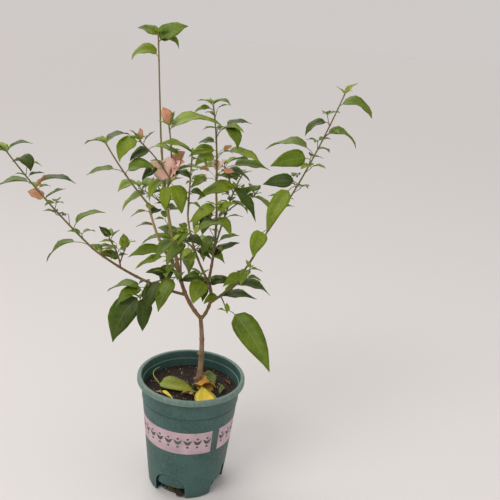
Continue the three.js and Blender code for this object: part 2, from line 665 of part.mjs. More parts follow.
function massSolid(name) {
  const { twigs, leaves } = masses[name];
  const parts = twigs.map((twig, number) => (
    limbSolid(twig, number ? BRANCH_SIDES : STEM_SIDES, number ? TWIG_STEPS - 1 : TWIG_STEPS, 0)));
  parts.push(...leaves.map(({ root, spec }) => leafSolid(root, spec)));
  let solid = joined(parts);
  for (const limb of Object.keys(LIMBS)) {
    solid = solid.subtract(boughSolid(limb, GAP));
  }
  return largest(solid);
}

// Leaves that have dropped on the soil: where the stalk's end lies, and the same sizes as a leaf
const FALLEN = {
  fallen_leaf_olive: {
    root: [-43, -1], heading: 347, rise: 10, length: 53, arch: 24, roll: 10, breadth: 0.95,
    colour: LEAF_OLIVE,
  },
  fallen_leaf_yellow: {
    root: [25, -45], heading: 103, rise: 8, length: 43, arch: 20, roll: 0, breadth: 1.25,
    colour: LEAF_YELLOW,
  },
  fallen_leaf_ochre: {
    root: [33, 4], heading: 184, rise: 18, length: 25, arch: 44, roll: 12, breadth: 1, colour: LEAF_OCHRE,
  },
  fallen_leaf_small: {
    root: [33, 20], heading: 152, rise: 26, length: 22, arch: 44, roll: -20, breadth: 1.2, colour: LEAF_GREEN,
  },
};

function fallenGeometry({ root, ...row }) {
  const spec = { ...row, stalk: STALK_RADIUS * 4 };
  const geometry = geometryOf(leafSolid(point([...root, SOIL_TOP]), spec));
  geometry.computeBoundingBox();
  return geometry.translate(0, 0, SOIL_TOP + GAP - geometry.boundingBox.min.z);
}

const bougainvillea = new THREE.Group();

function place(name, geometry, colour, roughness) {
  const material = new THREE.MeshStandardMaterial({ color: colour, roughness, metalness: 0 });
  const mesh = new THREE.Mesh(geometry, material);
  mesh.name = name;
  bougainvillea.add(mesh);
}

place('pot', geometryOf(potSolid()), POT_GREEN, 0.55);
place('soil', geometryOf(soilSolid()), SOIL_BROWN, 0.95);
for (const [name, row] of Object.entries(FALLEN)) {
  place(name, fallenGeometry(row), row.colour, 0.6);
}
for (const [name, solid] of Object.entries(limbSolids())) {
  place(name, geometryOf(solid), BARK_BROWN, 0.85);
}
for (const name of Object.keys(MASSES)) {
  place(name, geometryOf(massSolid(name)), LEAF_GREEN, 0.5);
}

export default bougainvillea;
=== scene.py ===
# %% [markdown]
# # A young bougainvillea in its nursery pot
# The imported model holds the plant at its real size: a thin pot with soil, a leaning trunk, eight
# boughs and seventeen masses of foliage. This notebook dresses it. The pot, the bark and the soil
# become finer meshes of the same shape, and every mass is grown again from the limbs by the rule that
# the model itself follows, with finer leaves, papery bracts and side shoots.
#
# Sizes are written in millimetres, as on a drawing, and turned into metres where a mesh is made.

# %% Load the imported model
import math

import bpy
import numpy as np
from mathutils import Matrix, Vector


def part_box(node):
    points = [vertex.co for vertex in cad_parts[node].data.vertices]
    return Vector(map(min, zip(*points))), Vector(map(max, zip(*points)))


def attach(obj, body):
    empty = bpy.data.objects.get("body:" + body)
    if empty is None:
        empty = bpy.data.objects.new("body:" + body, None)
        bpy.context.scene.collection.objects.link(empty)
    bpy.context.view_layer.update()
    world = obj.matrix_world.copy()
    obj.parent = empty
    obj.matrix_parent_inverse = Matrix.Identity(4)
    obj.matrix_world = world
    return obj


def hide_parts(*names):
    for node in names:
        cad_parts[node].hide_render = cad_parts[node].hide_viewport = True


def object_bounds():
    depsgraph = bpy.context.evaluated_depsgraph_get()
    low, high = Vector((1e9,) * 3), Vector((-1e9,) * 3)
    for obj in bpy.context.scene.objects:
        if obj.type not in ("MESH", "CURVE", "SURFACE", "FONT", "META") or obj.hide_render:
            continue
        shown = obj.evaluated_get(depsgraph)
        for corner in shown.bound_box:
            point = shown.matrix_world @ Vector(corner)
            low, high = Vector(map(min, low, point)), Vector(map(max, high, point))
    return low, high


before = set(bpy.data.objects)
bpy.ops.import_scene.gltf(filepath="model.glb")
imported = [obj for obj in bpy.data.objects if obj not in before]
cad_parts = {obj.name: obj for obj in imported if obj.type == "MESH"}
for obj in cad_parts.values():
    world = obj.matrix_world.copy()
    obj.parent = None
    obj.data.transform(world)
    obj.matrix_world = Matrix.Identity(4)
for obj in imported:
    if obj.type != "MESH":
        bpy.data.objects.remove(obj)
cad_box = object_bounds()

MM = 0.001
BODY = "root"
scene = bpy.context.scene
cad_size = [round((high - low) / MM) for low, high in zip(*cad_box)]
print("The plant with its pot measures", cad_size, "mm")


def linked(name, data):
    """A new object in the scene."""
    made = bpy.data.objects.new(name, data)
    scene.collection.objects.link(made)
    return made


# %% [markdown]
# ## The viewpoint
# The photograph looks a little down on the plant, with the camera slightly tipped. The lens is found
# from the ellipses of the pot's rim and foot: their flatness gives the angle, and their sizes give the
# distance. The camera keeps that place, so the render can be laid over the photograph.

# %% Camera
CAMERA_PLACE = Vector((63.5, -770.7, 594.2)) * MM
CAMERA_PITCH = math.radians(18.22)
CAMERA_ROLL = math.radians(4.96)
FRAME_PIXELS = 500
FOCAL_PIXELS = 650

camera_data = bpy.data.cameras.new("camera")
camera_data.sensor_width = 36
camera_data.lens = camera_data.sensor_width * FOCAL_PIXELS / FRAME_PIXELS
camera = linked("camera", camera_data)
look = Matrix.Rotation(math.pi / 2 - CAMERA_PITCH, 4, "X") @ Matrix.Rotation(CAMERA_ROLL, 4, "Z")
camera.matrix_world = Matrix.Translation(CAMERA_PLACE) @ look
scene.camera = camera
print("Lens", round(camera_data.lens, 1), "mm, camera", round(CAMERA_PLACE.z / MM), "mm above the floor")

# %% [markdown]
# ## Light and floor
# The plant is lit by a wide, hazy sun, and two broad panels fill its front and its side. Wide lights
# give soft shadows. The floor is a plain pale disc. It runs on to the horizon, and the room has
# nearly the colour that the lit floor takes there, so that the line between them is faint.

# %% Stage
CROWN = Vector((0.0, 0.0, 0.4))
PANELS = {
    "room_light": dict(place=(-1.0, -1.1, 1.7), size=(1.0, 0.8), power=17, colour=(1.0, 0.98, 0.95)),
    "side_light": dict(place=(1.5, -0.2, 0.9), size=(1.0, 1.0), power=1, colour=(0.95, 0.97, 1.0)),
}
SUN_WAY = Vector((0.7, -1.0, -1.3))
SUN_SPREAD = math.radians(50)
SUN_POWER = 1.1
SUN_COLOUR = (1.0, 0.99, 0.96)
ROOM_COLOUR = (0.62, 0.59, 0.58, 1)
FLOOR_COLOUR = (0.7, 0.68, 0.675)
FLOOR_REACH = 60


def material(name, colour, roughness):
    made = bpy.data.materials.new(name)
    made.use_nodes = True
    shader = made.node_tree.nodes["Principled BSDF"]
    shader.inputs["Base Color"].default_value = (*colour, 1)
    shader.inputs["Roughness"].default_value = roughness
    made.diffuse_color = (*colour, 1)
    return made, made.node_tree, shader


def add_light(name, kind, place, way, power, colour):
    data = bpy.data.lights.new(name, kind)
    data.energy = power
    data.color = colour
    light = linked(name, data)
    light.location = place
    light.rotation_euler = way.to_track_quat("-Z", "Y").to_euler()
    return data


for light_name, panel in PANELS.items():
    way = CROWN - Vector(panel["place"])
    data = add_light(light_name, "AREA", panel["place"], way, panel["power"], panel["colour"])
    data.shape = "RECTANGLE"
    data.size, data.size_y = panel["size"]
data = add_light("hazy_sun", "SUN", CROWN - SUN_WAY, SUN_WAY, SUN_POWER, SUN_COLOUR)
data.angle = SUN_SPREAD

scene.world = bpy.data.worlds.new("pale_room")
scene.world.use_nodes = True
scene.world.node_tree.nodes["Background"].inputs["Color"].default_value = ROOM_COLOUR
scene.view_settings.view_transform = "Standard"

bpy.ops.mesh.primitive_circle_add(vertices=96, radius=FLOOR_REACH, fill_type="NGON")
floor = bpy.context.object
floor.name = "floor"
floor_paint, unused, floor_shader = material("pale_floor", FLOOR_COLOUR, 0.9)
floor_shader.inputs["Specular IOR Level"].default_value = 0.1
floor.data.materials.append(floor_paint)

# %% [markdown]
# ## Writing rules as formulas
# A rule in Geometry Nodes or in a material is a chain of Math nodes, which is hard to read in a
# script. `Field` wraps a socket so that plus, minus and times make those nodes: the script then holds
# the formula, and Blender gets the nodes. `named` reads an attribute of the mesh, and `grow` runs a
# tree on an object and keeps its result as a plain mesh.

# %% Formula and tree helpers
class Field:
    """A value in a node tree that takes +, -, * and /."""

    def __init__(self, tree, socket):
        self.tree = tree
        self.socket = socket

    def math(self, operation, other=0.0):
        node = self.tree.nodes.new("ShaderNodeMath")
        node.operation = operation
        plug(self.tree, node.inputs[0], self)
        plug(self.tree, node.inputs[1], other)
        return Field(self.tree, node.outputs[0])

    def __add__(self, other):
        return self.math("ADD", other)

    def __sub__(self, other):
        return self.math("SUBTRACT", other)

    def __mul__(self, other):
        return self.math("MULTIPLY", other)

    def __truediv__(self, other):
        return self.math("DIVIDE", other)

    def __pow__(self, other):
        return self.math("POWER", other)

    def sin(self):
        return self.math("SINE")

    def cos(self):
        return self.math("COSINE")

    def size(self):
        return self.math("ABSOLUTE")


def plug(tree, socket, value):
    """Links a field or socket into a socket, or sets the socket to a plain value."""
    if isinstance(value, Field):
        tree.links.new(value.socket, socket)
    elif isinstance(value, bpy.types.NodeSocket):
        tree.links.new(value, socket)
    else:
        socket.default_value = value


def node(tree, kind, settings=None, **values):
    """A new node with its settings and the values or links of its named inputs."""
    made = tree.nodes.new(kind)
    for name, value in (settings or {}).items():
        setattr(made, name, value)
    for name, value in values.items():
        plug(tree, made.inputs[name.replace("_", " ")], value)
    return made


def vector(tree, x, y, z):
    return node(tree, "ShaderNodeCombineXYZ", X=x, Y=y, Z=z).outputs[0]


def split(tree, socket):
    parts = node(tree, "ShaderNodeSeparateXYZ", Vector=socket)
    return [Field(tree, output) for output in parts.outputs]


def named(tree, name):
    reader = node(tree, "GeometryNodeInputNamedAttribute", {"data_type": "FLOAT"}, Name=name)
    return Field(tree, reader.outputs["Attribute"])


def stored(tree, geometry, name, value, kind="FLOAT", domain="POINT"):
    settings = {"data_type": kind, "domain": domain}
    made = node(tree, "GeometryNodeStoreNamedAttribute", settings, Geometry=geometry, Name=name, Value=value)
    return made.outputs[0]


def position(tree):
    """The x, y and z of each point."""
    return split(tree, node(tree, "GeometryNodeInputPosition").outputs[0])


def smoothed(tree, geometry):
    return node(tree, "GeometryNodeSetShadeSmooth", Geometry=geometry).outputs[0]


def uneven(tree, place, scale, detail, roughness=0.5):
    """Noise for a shape, from -0.5 to 0.5."""
    made = node(tree, "ShaderNodeTexNoise", Vector=place, Scale=scale, Detail=detail, Roughness=roughness)
    return Field(tree, made.outputs[0]) - 0.5


def moved_to(tree, geometry, x, y, z):
    return node(tree, "GeometryNodeSetPosition", Geometry=geometry, Position=vector(tree, x, y, z)).outputs[0]


def pushed(tree, geometry, push):
    """Moves a surface in and out along its normals."""
    normal = node(tree, "GeometryNodeInputNormal").outputs[0]
    outward = node(tree, "ShaderNodeVectorMath", {"operation": "SCALE"}, Vector=normal, Scale=push)
    return node(tree, "GeometryNodeSetPosition", Geometry=geometry, Offset=outward.outputs[0]).outputs[0]


SOCKETS = {float: "NodeSocketFloat", int: "NodeSocketInt", bpy.types.Material: "NodeSocketMaterial"}


def new_tree(name, inputs):
    """A geometry tree with a geometry input, named inputs and a geometry output."""
    tree = bpy.data.node_groups.new(name, "GeometryNodeTree")
    tree.interface.new_socket("Geometry", in_out="INPUT", socket_type="NodeSocketGeometry")
    for label, value in inputs.items():
        socket = tree.interface.new_socket(label, in_out="INPUT", socket_type=SOCKETS[type(value)])
        socket.default_value = value
    tree.interface.new_socket("Geometry", in_out="OUTPUT", socket_type="NodeSocketGeometry")
    enter = tree.nodes.new("NodeGroupInput")
    fields = {label: Field(tree, enter.outputs[label]) for label in inputs}
    return tree, enter.outputs["Geometry"], fields


def close_tree(tree, geometry, paint=None):
    """Ends a tree. With a material, its copies are made real and take that."""
    if paint:
        real = node(tree, "GeometryNodeRealizeInstances", Geometry=geometry).outputs[0]
        geometry = node(tree, "GeometryNodeSetMaterial", Geometry=real, Material=paint).outputs[0]
    leave = tree.nodes.new("NodeGroupOutput")
    tree.links.new(geometry, leave.inputs[0])


def grow(seed_object, tree, name, **sizes):
    """Runs a tree on an object and returns its result as a plain mesh object."""
    modifier = seed_object.modifiers.new("rule", "NODES")
    modifier.node_group = tree
    labels = {label.replace("_", " "): value for label, value in sizes.items()}
    for item in tree.interface.items_tree:
        if item.item_type == "SOCKET" and item.in_out == "INPUT" and item.name in labels:
            modifier[item.identifier] = labels[item.name]
    seen = seed_object.evaluated_get(bpy.context.evaluated_depsgraph_get())
    mesh = bpy.data.meshes.new_from_object(seen)
    seed_object.modifiers.clear()
    bpy.data.objects.remove(seed_object)
    mesh.name = name
    return linked(name, mesh)


def mesh_object(name, points, edges=(), faces=()):
    """A mesh object from points in millimetres."""
    mesh = bpy.data.meshes.new(name)
    mesh.from_pydata([tuple(spot) for spot in np.asarray(points, float) * MM], edges, faces)
    return linked(name, mesh)


def add_attribute(piece, name, values):
    attribute = piece.data.attributes.new(name, "FLOAT", "POINT")
    attribute.data.foreach_set("value", np.asarray(values, np.float32))


def triangles(piece):
    return sum(len(face.vertices) - 2 for face in piece.data.polygons)


def settle(piece, slot, *nodes):
    """Puts a finished piece on the plant's body, in place of the model's nodes of its kind."""
    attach(piece, BODY)
    if nodes:
        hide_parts(*nodes)
    print(piece.name, triangles(piece), "triangles, in place of", len(nodes), "nodes")


print("Helpers are ready")

# %% [markdown]
# ## Limbs: where the plant goes
# A real bougainvillea grows from a seedling shoot that forks low down, and each fork takes a long,
# thin, arching bough. A limb is a line from root to tip with a bowed middle and a taper. Each one is
# written by the limb it grows from, the share along it, and its own tip, so a change to the trunk
# carries everything above it.

# %% Limbs
SOIL_TOP = 139
LIMBS = {
    "trunk": dict(root=(8, 12, SOIL_TOP - 3), tip=(6, 10, 241), bow=(3.8, 0, 0), radii=(4.1, 2.6), flare=1.8),
    "left_bough": dict(on="trunk", at=0.97, tip=(-27, 8, 312), bow=(-4, 0, -6), radii=(2.6, 2.4)),
    "right_bough": dict(on="trunk", at=0.95, tip=(13, 10, 292), bow=(8, 0, -1), radii=(2.2, 2)),
    "leader": dict(on="left_bough", at=0.97, tip=(-54, 4, 471), bow=(-3, 0, -3), radii=(2.4, 1.2)),
    "upper_left_bough": dict(on="left_bough", at=0.9, tip=(-64, -6, 389), bow=(-4, 0, -6), radii=(2, 1.4)),
    "upper_right_bough": dict(on="right_bough", at=0.97, tip=(15, 21, 408), bow=(4, 0, 0), radii=(1.9, 1.3)),
    "middle_bough": dict(on="right_bough", at=0.9, tip=(-16, -4, 380), bow=(-6, 0, 2), radii=(1.7, 1.2)),
    "right_long_bough": dict(on="right_bough", at=0.45, tip=(83, 25, 358), bow=(3, 0, -11), radii=(1.7, 1.3)),
    "left_long_bough": dict(on="left_bough", at=0.5, tip=(-129, -11, 327), bow=(0, 0, -8), radii=(2, 1.4)),
}
FLARE_HEIGHT = 8


class Line:
    """A limb or twig: straight from root to tip, with its middle bowed, and tapered."""

    def __init__(self, root, tip, bow, radii, flare=0):
        self.root = np.array(root, float)
        self.tip = np.array(tip, float)
        self.bow = np.array(bow, float)
        self.radii = radii
        self.flare = flare

    def along(self, share):
        return self.root + (self.tip - self.root) * share + self.bow * 4 * share * (1 - share)

    def radius(self, share):
        height = self.along(share)[2] - self.root[2]
        taper = self.radii[0] + (self.radii[1] - self.radii[0]) * share
        return taper + self.flare * math.exp(-height / FLARE_HEIGHT)

    def length(self):
        return float(np.linalg.norm(self.tip - self.root))


def grown_line(row, parents):
    root = parents[row["on"]].along(row["at"]) if "on" in row else row["root"]
    return Line(root, row["tip"], row["bow"], row["radii"], row.get("flare", 0))


limbs = {}
for limb_name, limb_row in LIMBS.items():
    limbs[limb_name] = grown_line(limb_row, limbs)
print("Limb lengths in mm:", {name: round(line.length()) for name, line in limbs.items()})

# %% [markdown]
# ## Foliage: one table and one rule
# Each mass grows from one stem. Leaves that show against the light were measured in the photograph, so
# they are rows: the share along the twig, the heading and rise of the blade, its length, the angle it
# arches down through, its roll about the midrib, its stalk and its breadth. A negative share counts
# along the first branch. The other leaves come from a seeded rule, the same one that shaped the solids,
# so the dressed plant keeps their outline. `tint` deals a plain colour to a leaf or a whole spray.

# %% Foliage table
STALK_SHARE = 0.2
GREEN, BRIGHT, DEEP, YOUNG, PINK, DRIED = range(6)


def leaf(at, heading, rise, length, arch, roll=0, stalk=None, breadth=1, tint=None):
    stalk = STALK_SHARE * length if stalk is None else stalk
    return dict(at=at, heading=heading, rise=rise, length=length, arch=arch, roll=roll, stalk=stalk,
                breadth=breadth, tint=tint, kind="leaf")


def bract(at, heading, rise, length, arch, roll=0, breadth=1.3, stalk=3, tint=PINK):
    return dict(leaf(at, heading, rise, length, arch, roll, stalk, breadth, tint), kind="bract")


MASSES = {
    "foliage_top": dict(
        on="leader", at=1, tip=(-61, 1, 588), bow=(0, 0, 0), radii=(1.1, 0.8), seed=11, more=0, size=30,
        own=[
            leaf(0.96, 170, 34, 25, 40, -35, 3, 1.2), leaf(0.9, 10, 44, 36, 30, 45, 5, 1.3),
            leaf(0.9, 350, 35, 27, 110, 20), leaf(0.75, 185, 38, 34, 110, -35),
        ]),
    "foliage_upper_left": dict(
        on="upper_left_bough", at=1, tip=(-114, -20, 462), bow=(-2, 0, -1), radii=(1.3, 0.8), seed=12,
        more=0, size=26,
        own=[
            leaf(0.91, 170, 26, 28, 70, 0, 8), leaf(0.98, 45, 40, 32, 60, 0, 5),
            leaf(0.51, 190, -1, 34, 30, -10, 15, 0.9), leaf(0.51, 350, 40, 36, 60, 40, 7),
        ]),
    "foliage_upper_right": dict(
        on="upper_right_bough", at=1, tip=(4, 30, 511), bow=(2, 0, 4), radii=(1.3, 0.8), seed=13,
        more=3, size=24, branches=[(0.02, 350, 5, 26)],
        own=[
            leaf(0.95, 170, 38, 20, 60, 0, 5), leaf(0.98, 350, 49, 24, 100, 10, 3),
            leaf(0.91, 200, 9, 21, 50, -20, 6), leaf(0.82, 140, 35, 16, 60, 0, 4),
            leaf(0.7, 330, -14, 32, 80, 20, 16, 1.1), leaf(0.57, 20, 28, 33, 45, 10, 21, 0.9),
            leaf(0.59, 340, 23, 25, 60, 15, 18), leaf(0.51, 170, 12, 21, 50, -30, 4),
            leaf(0.42, 200, 6, 34, 45, -35, 4, 0.9, tint=BRIGHT),
            leaf(0.35, 215, 6, 30, 60, -40, 5, tint=YOUNG),
            leaf(0.37, 345, 4, 45, 35, 12, 17, 0.95), leaf(0.15, 10, 10, 46, 30, 20, 26, 0.8),
            leaf(0.08, 335, -31, 50, 35, 20, 26, 0.6), leaf(0.12, 20, 7, 34, 60, 20, 17),
            leaf(0.1, 190, -12, 25, 50, -35, 12, 1.1, tint=BRIGHT),
            leaf(-0.97, 190, 5, 50, 55, -35, 3, 0.75, tint=BRIGHT),
            leaf(0.03, 350, 14, 29, 30, 25, 3, 0.6, tint=BRIGHT),
            bract(0.08, 190, 30, 12, 20, -40, 1.1, 18, tint=DRIED), bract(0.2, 160, 62, 16, 15, -30, 0.9, 2),
            bract(0.2, 20, 62, 17, 15, 30, 0.9, 2), bract(0.19, 95, 72, 15, 15, 0, 0.9, 2, tint=DRIED),
            bract(0.36, 352, 30, 12, 10, 60, 1, 13, tint=DRIED),
            bract(0.16, 352, 12, 14, 20, 60, 1, 10, tint=DRIED),
        ]),
    "foliage_right": dict(
        on="right_long_bough", at=1, tip=(162, 40, 537), bow=(2, 0, -8), radii=(1.3, 0.8), seed=14,
        more=3, size=26,
        own=[
            leaf(0.99, 20, 52, 20, 30, 15, 3, 0.8), leaf(0.91, 340, 27, 45, 90, 22, 7, 0.95),
            leaf(0.81, 195, 1, 33, 75, -20, 7, 0.9), leaf(0.72, 10, 24, 46, 95, 18, 9, 0.8),
            leaf(0.6, 160, 20, 58, 60, -10, 14, 0.8), leaf(0.57, 200, -1, 48, 25, -60, 9, 0.9),
            leaf(0.4, 170, 0, 40, 25, -60, 7, 0.9), leaf(0.39, 215, -46, 59, 30, -40, 14, 0.7),
            leaf(0.02, 240, -26, 36, 60, -25, 14, 1.1),
        ]),
    "foliage_left": dict(
        on="left_long_bough", at=1, tip=(-226, -33, 446), bow=(-3, 0, -2), radii=(1.3, 0.8), seed=15,
        more=2, size=26,
        own=[
            leaf(0.02, 190, -6, 46, 66, 0, 22, 0.9), leaf(0.22, 20, 51, 40, 60, 0, 8),
            leaf(0.54, 350, 39, 28, 20, 10, 3, 0.9), leaf(0.65, 10, 29, 42, 60, 0, 10),
            leaf(0.68, 190, 6, 43, 40, 0, 7), leaf(0.9, 330, 9, 25, 90, 10, 11, 1.5),
            leaf(0.98, 20, 44, 28, 60, 0, 5), leaf(0.95, 170, 18, 34, 50),
            leaf(0.99, 200, 8, 26, 50, -20, 4), bract(0.54, 200, 30, 20, 20, -50, tint=DRIED),
            bract(0.64, 30, 62, 18, 20, 20, 0.8, tint=DRIED),
        ]),
    "foliage_left_inner": dict(
        on="left_long_bough", at=0.72, tip=(-113, -2, 341), bow=(3, 0, 0), radii=(1.1, 0.8), seed=16,
        more=3, size=20, branches=[(0.15, 25, 70, 26), (0.3, 235, 25, 34)],
        own=[
            leaf(0.96, 160, 46, 19, 20, -30, 3), leaf(0.89, 20, 53, 13, 20, 0, 6),
            leaf(0.6, 200, 20, 22, 40, 0, 5), leaf(0.22, 190, 35, 27, 40, -30, 4),
            leaf(-0.62, 110, 62, 21, 30, 0, 3, 1.2), bract(0.6, 200, 10, 16, 30),
        ]),
    "foliage_low_left": dict(
        on="left_long_bough", at=0.42, tip=(-68, -24, 272), bow=(0, 0, 1), radii=(1.3, 0.9), seed=17,
        more=3, size=32, branches=[(0.3, 352, 24, 46)],
        own=[
            leaf(0.86, 205, -43, 67, 40, -45, 5, tint=DEEP), leaf(0.72, 285, -55, 42, 40, -20, 8, tint=DEEP),
            leaf(0.65, 170, 14, 45, 60, 0, 8), leaf(0.4, 215, -10, 38, 40, -20, 6),
            leaf(-0.95, 225, -42, 46, 40, -20, 6, 0.9), leaf(-0.7, 190, 25, 26, 40, -30, 6),
            leaf(-0.5, 230, -45, 42, 40, -20, 5, 0.8, tint=DEEP),
            leaf(-0.2, 265, -42, 34, 40, -10, 5, tint=DEEP),
        ]),
    "foliage_low_right": dict(
        on="right_long_bough", at=0.13, tip=(66, 2, 315), bow=(-1, 0, -6), radii=(1.2, 0.9), seed=18,
        more=0, size=30, branches=[(0.1, 300, -35, 26)],
        own=[
            leaf(0.03, 350, 18, 48, 30, 10, 4, 0.8), leaf(0.45, 10, 12, 48, 60, 10, 10, 0.9),
            leaf(0.96, 250, -3, 27, 60), leaf(0.97, 20, 0, 16, 30), leaf(0.85, 200, -17, 29, 30, -30, 4),
            leaf(-0.87, 322, -27, 86, 30, 40, 14, 0.7, tint=GREEN),
            leaf(0.05, 215, 2, 22, 50, -30, 4, tint=BRIGHT),
            leaf(0.22, 0, 52, 32, 20, 25, 3, 0.6, tint=BRIGHT),
        ]),
    "foliage_fork": dict(
        on="right_bough", at=0.8, tip=(6, -16, 306), bow=(0, 0, 3), radii=(1.1, 0.8), seed=27,
        more=0, size=28,
        own=[
            leaf(0.5, 235, -30, 32, 50, -20, 5, 1.4, tint=BRIGHT), leaf(0.3, 250, -50, 22, 30, 0, 4),
            leaf(0.15, 5, 38, 30, 60, 25, 3, 1.1), leaf(0.05, 187, 34, 42, 55, -25, 3, 0.75, tint=DEEP),
            leaf(0.9, 185, 5, 24, 50, -20, 4, 0.9),
        ]),
    "foliage_blossom": dict(
        on="leader", at=0.6, tip=(-43, -8, 486), bow=(5, 0, -7), radii=(1.2, 0.8), seed=19,
        more=0, size=24, branches=[(0.3, 195, 49, 58)],
        own=[
            bract(0.99, 150, 70, 22, 20, -30, 1.3, tint=DRIED), leaf(0.97, 60, 66, 16, 20, 0, 7),
            leaf(0.95, 10, 42, 64, 70, 14, 3, 0.8), bract(0.25, 190, 50, 31, 14, -80, 1.35),
            bract(0.29, 325, 62, 27, 14, 68, 1.2), bract(0.22, 270, 76, 33, 12, 0, 1.4),
            bract(0.5, 15, 55, 22, 20, 50, 1.2, tint=DRIED),
            bract(0.42, 335, 40, 20, 20, 45, 1.1, 5, tint=DRIED),
            leaf(0.21, 310, -30, 38, 50, 10, 10, 1.1, tint=BRIGHT),
            leaf(-0.2, 200, -20, 24, 40, -30, 8, 1.2, tint=DEEP),
            leaf(0.25, 262, -60, 32, 50, 0, 9, 0.9), leaf(0.28, 200, -30, 33, 60, -20, 8),
            leaf(-0.93, 195, -8, 36, 90, -45, 5, 1.1),
            leaf(-0.62, 190, -5, 26, 50, -35, 3, 1.2, tint=DEEP), leaf(-0.9, 170, 25, 18, 40, 0, 5),
            leaf(-0.85, 10, 55, 16, 20, 0, 6), leaf(-0.97, 190, 52, 15, 30, 0, 4),
            leaf(-0.7, 350, 10, 36, 50, 10, 8, 0.8), bract(-0.95, 265, 80, 15, 10, 0, 0.8, tint=DRIED),
        ]),
    "foliage_middle": dict(
        on="middle_bough", at=1, tip=(-15, -2, 456), bow=(0, 0, 0), radii=(1.2, 0.8), seed=20,
        more=7, size=24,
        own=[
            leaf(0.52, 10, 42, 20, 40), leaf(0.98, 208, 36, 44, 45, -15, 3, 0.8, tint=BRIGHT),
            leaf(0.55, 190, 58, 26, 115, -20, 3, tint=DEEP), leaf(0.38, 345, 8, 20, 45, 30, 2, tint=DEEP),
        ]),
    "foliage_middle_right": dict(
        on="upper_right_bough", at=0.25, tip=(19, -6, 394), bow=(1, 0, 1), radii=(1.2, 0.8), seed=21,
        more=3, size=24,
        own=[
            leaf(0.8, 190, 4, 32, 50, -30, 5), leaf(0.72, 250, 5, 36, 50, 0, 9),
            leaf(0.75, 320, -4, 29, 60, 15, 3), leaf(0.68, 20, 47, 19, 30, 0, 8),
            leaf(0.42, 240, -9, 32, 60, 0, 3), leaf(0.19, 350, 37, 27, 30, 10, 14),
            leaf(0.03, 5, 48, 38, 35, 20, 3, 0.8), leaf(0.98, 200, -8, 42, 80, -35, 2, 0.75, tint=BRIGHT),
            leaf(0.9, 215, -45, 26, 50, -10, 10, 1.2, tint=DEEP),
            leaf(0.88, 5, 40, 24, 20, 35, 3, tint=BRIGHT),
            leaf(0.36, 195, -12, 24, 40, 30, 3, 1.2, tint=YOUNG),
        ]),
    "foliage_middle_left": dict(
        on="upper_left_bough", at=0.12, tip=(-67, 16, 376), bow=(-3, 4, -3), radii=(1.1, 0.8), seed=22,
        more=3, size=24,
        own=[
            leaf(0.96, 190, -4, 21, 40, 0, 5), leaf(0.72, 180, 9, 22, 40, 0, 3),
            leaf(0.5, 190, -5, 22, 50, 0, 4), leaf(0.22, 200, 8, 44, 40, -30, 9, 0.75),
            leaf(0.12, 205, -8, 38, 30, -20, 11, 0.6), leaf(0.04, 245, -45, 30, 35, -10, 6, 1.2),
            leaf(0.02, 240, -35, 20, 40, 0, 4, 1.1, tint=BRIGHT), leaf(0.52, 315, 20, 22, 40, 20, 3, 1.1),
            leaf(0.36, 10, 5, 20, 50, 20, 3, 1.1, tint=DEEP),
        ]),
    "foliage_back_left": dict(
        on="leader", at=0.22, tip=(-66, 78, 392), bow=(0, 0, 10), radii=(1.4, 0.8), seed=23,
        more=12, size=34, branches=[(0.45, 160, 25, 46), (0.7, 60, 40, 40)], own=[]),
    "foliage_back_right": dict(
        on="upper_right_bough", at=0.35, tip=(44, 96, 414), bow=(0, 0, 10), radii=(1.4, 0.8), seed=24,
        more=12, size=34, branches=[(0.4, 20, 30, 44), (0.65, 120, 45, 44)],
        own=[leaf(0.84, 190, 34, 28, 50, -20, 4, 1.1, tint=DEEP)]),
    "foliage_back_low": dict(
        on="left_bough", at=0.75, tip=(-34, 84, 312), bow=(0, 0, 8), radii=(1.3, 0.8), seed=25,
        more=9, size=36, branches=[(0.5, 40, 10, 40)], own=[]),
    "foliage_front": dict(
        on="middle_bough", at=0.45, tip=(-24, -76, 366), bow=(0, 0, 8), radii=(1.3, 0.8), seed=26,
        more=9, size=34, branches=[(0.5, 300, 30, 34)],
        own=[
            leaf(0.05, 255, -45, 18, 30, 0, 3, 1.2, tint=YOUNG),
            leaf(0.03, 350, -5, 22, 40, 20, 3, tint=DEEP),
            leaf(0.1, 210, -25, 18, 40, -20, 3, 1.1, tint=YOUNG),
        ]),
}
print(len(MASSES), "masses,", sum(len(row["own"]) for row in MASSES.values()), "measured leaves and bracts")

# %% [markdown]
# ## The shape of a blade
# A leaf's midrib is an arc: it starts at its rise and bends down through its arch. The blade is broad
# near the stalk and ends in a long fine tip, and it is folded along the midrib like an open book. These
# few formulas place any point of a blade, which the rule needs to keep leaves apart. The same formulas
# are written once more further down, as nodes, to make the faces.

# %% Blade formulas
STALK_LIFT = 25
BLADE_WIDTH = 0.56
BLADE_FOLD = 18
WIDEST = 0.337


def unit(heading, rise):
    level = math.cos(math.radians(rise))
    turn = math.radians(heading)
    return np.array([level * math.cos(turn), level * math.sin(turn), math.sin(math.radians(rise))])


def blade_base(root, spec):
    return root + unit(spec["heading"], spec["rise"] + STALK_LIFT) * spec["stalk"]


def midrib(base, spec, share):
    start = math.radians(spec["rise"])
    bend = math.radians(spec["arch"])
    end = start - bend * share
    out = (math.sin(start) - math.sin(end)) / bend * spec["length"]
    up = (math.cos(end) - math.cos(start)) / bend * spec["length"]
    turn = math.radians(spec["heading"])
    return base + np.array([out * math.cos(turn), out * math.sin(turn), up])


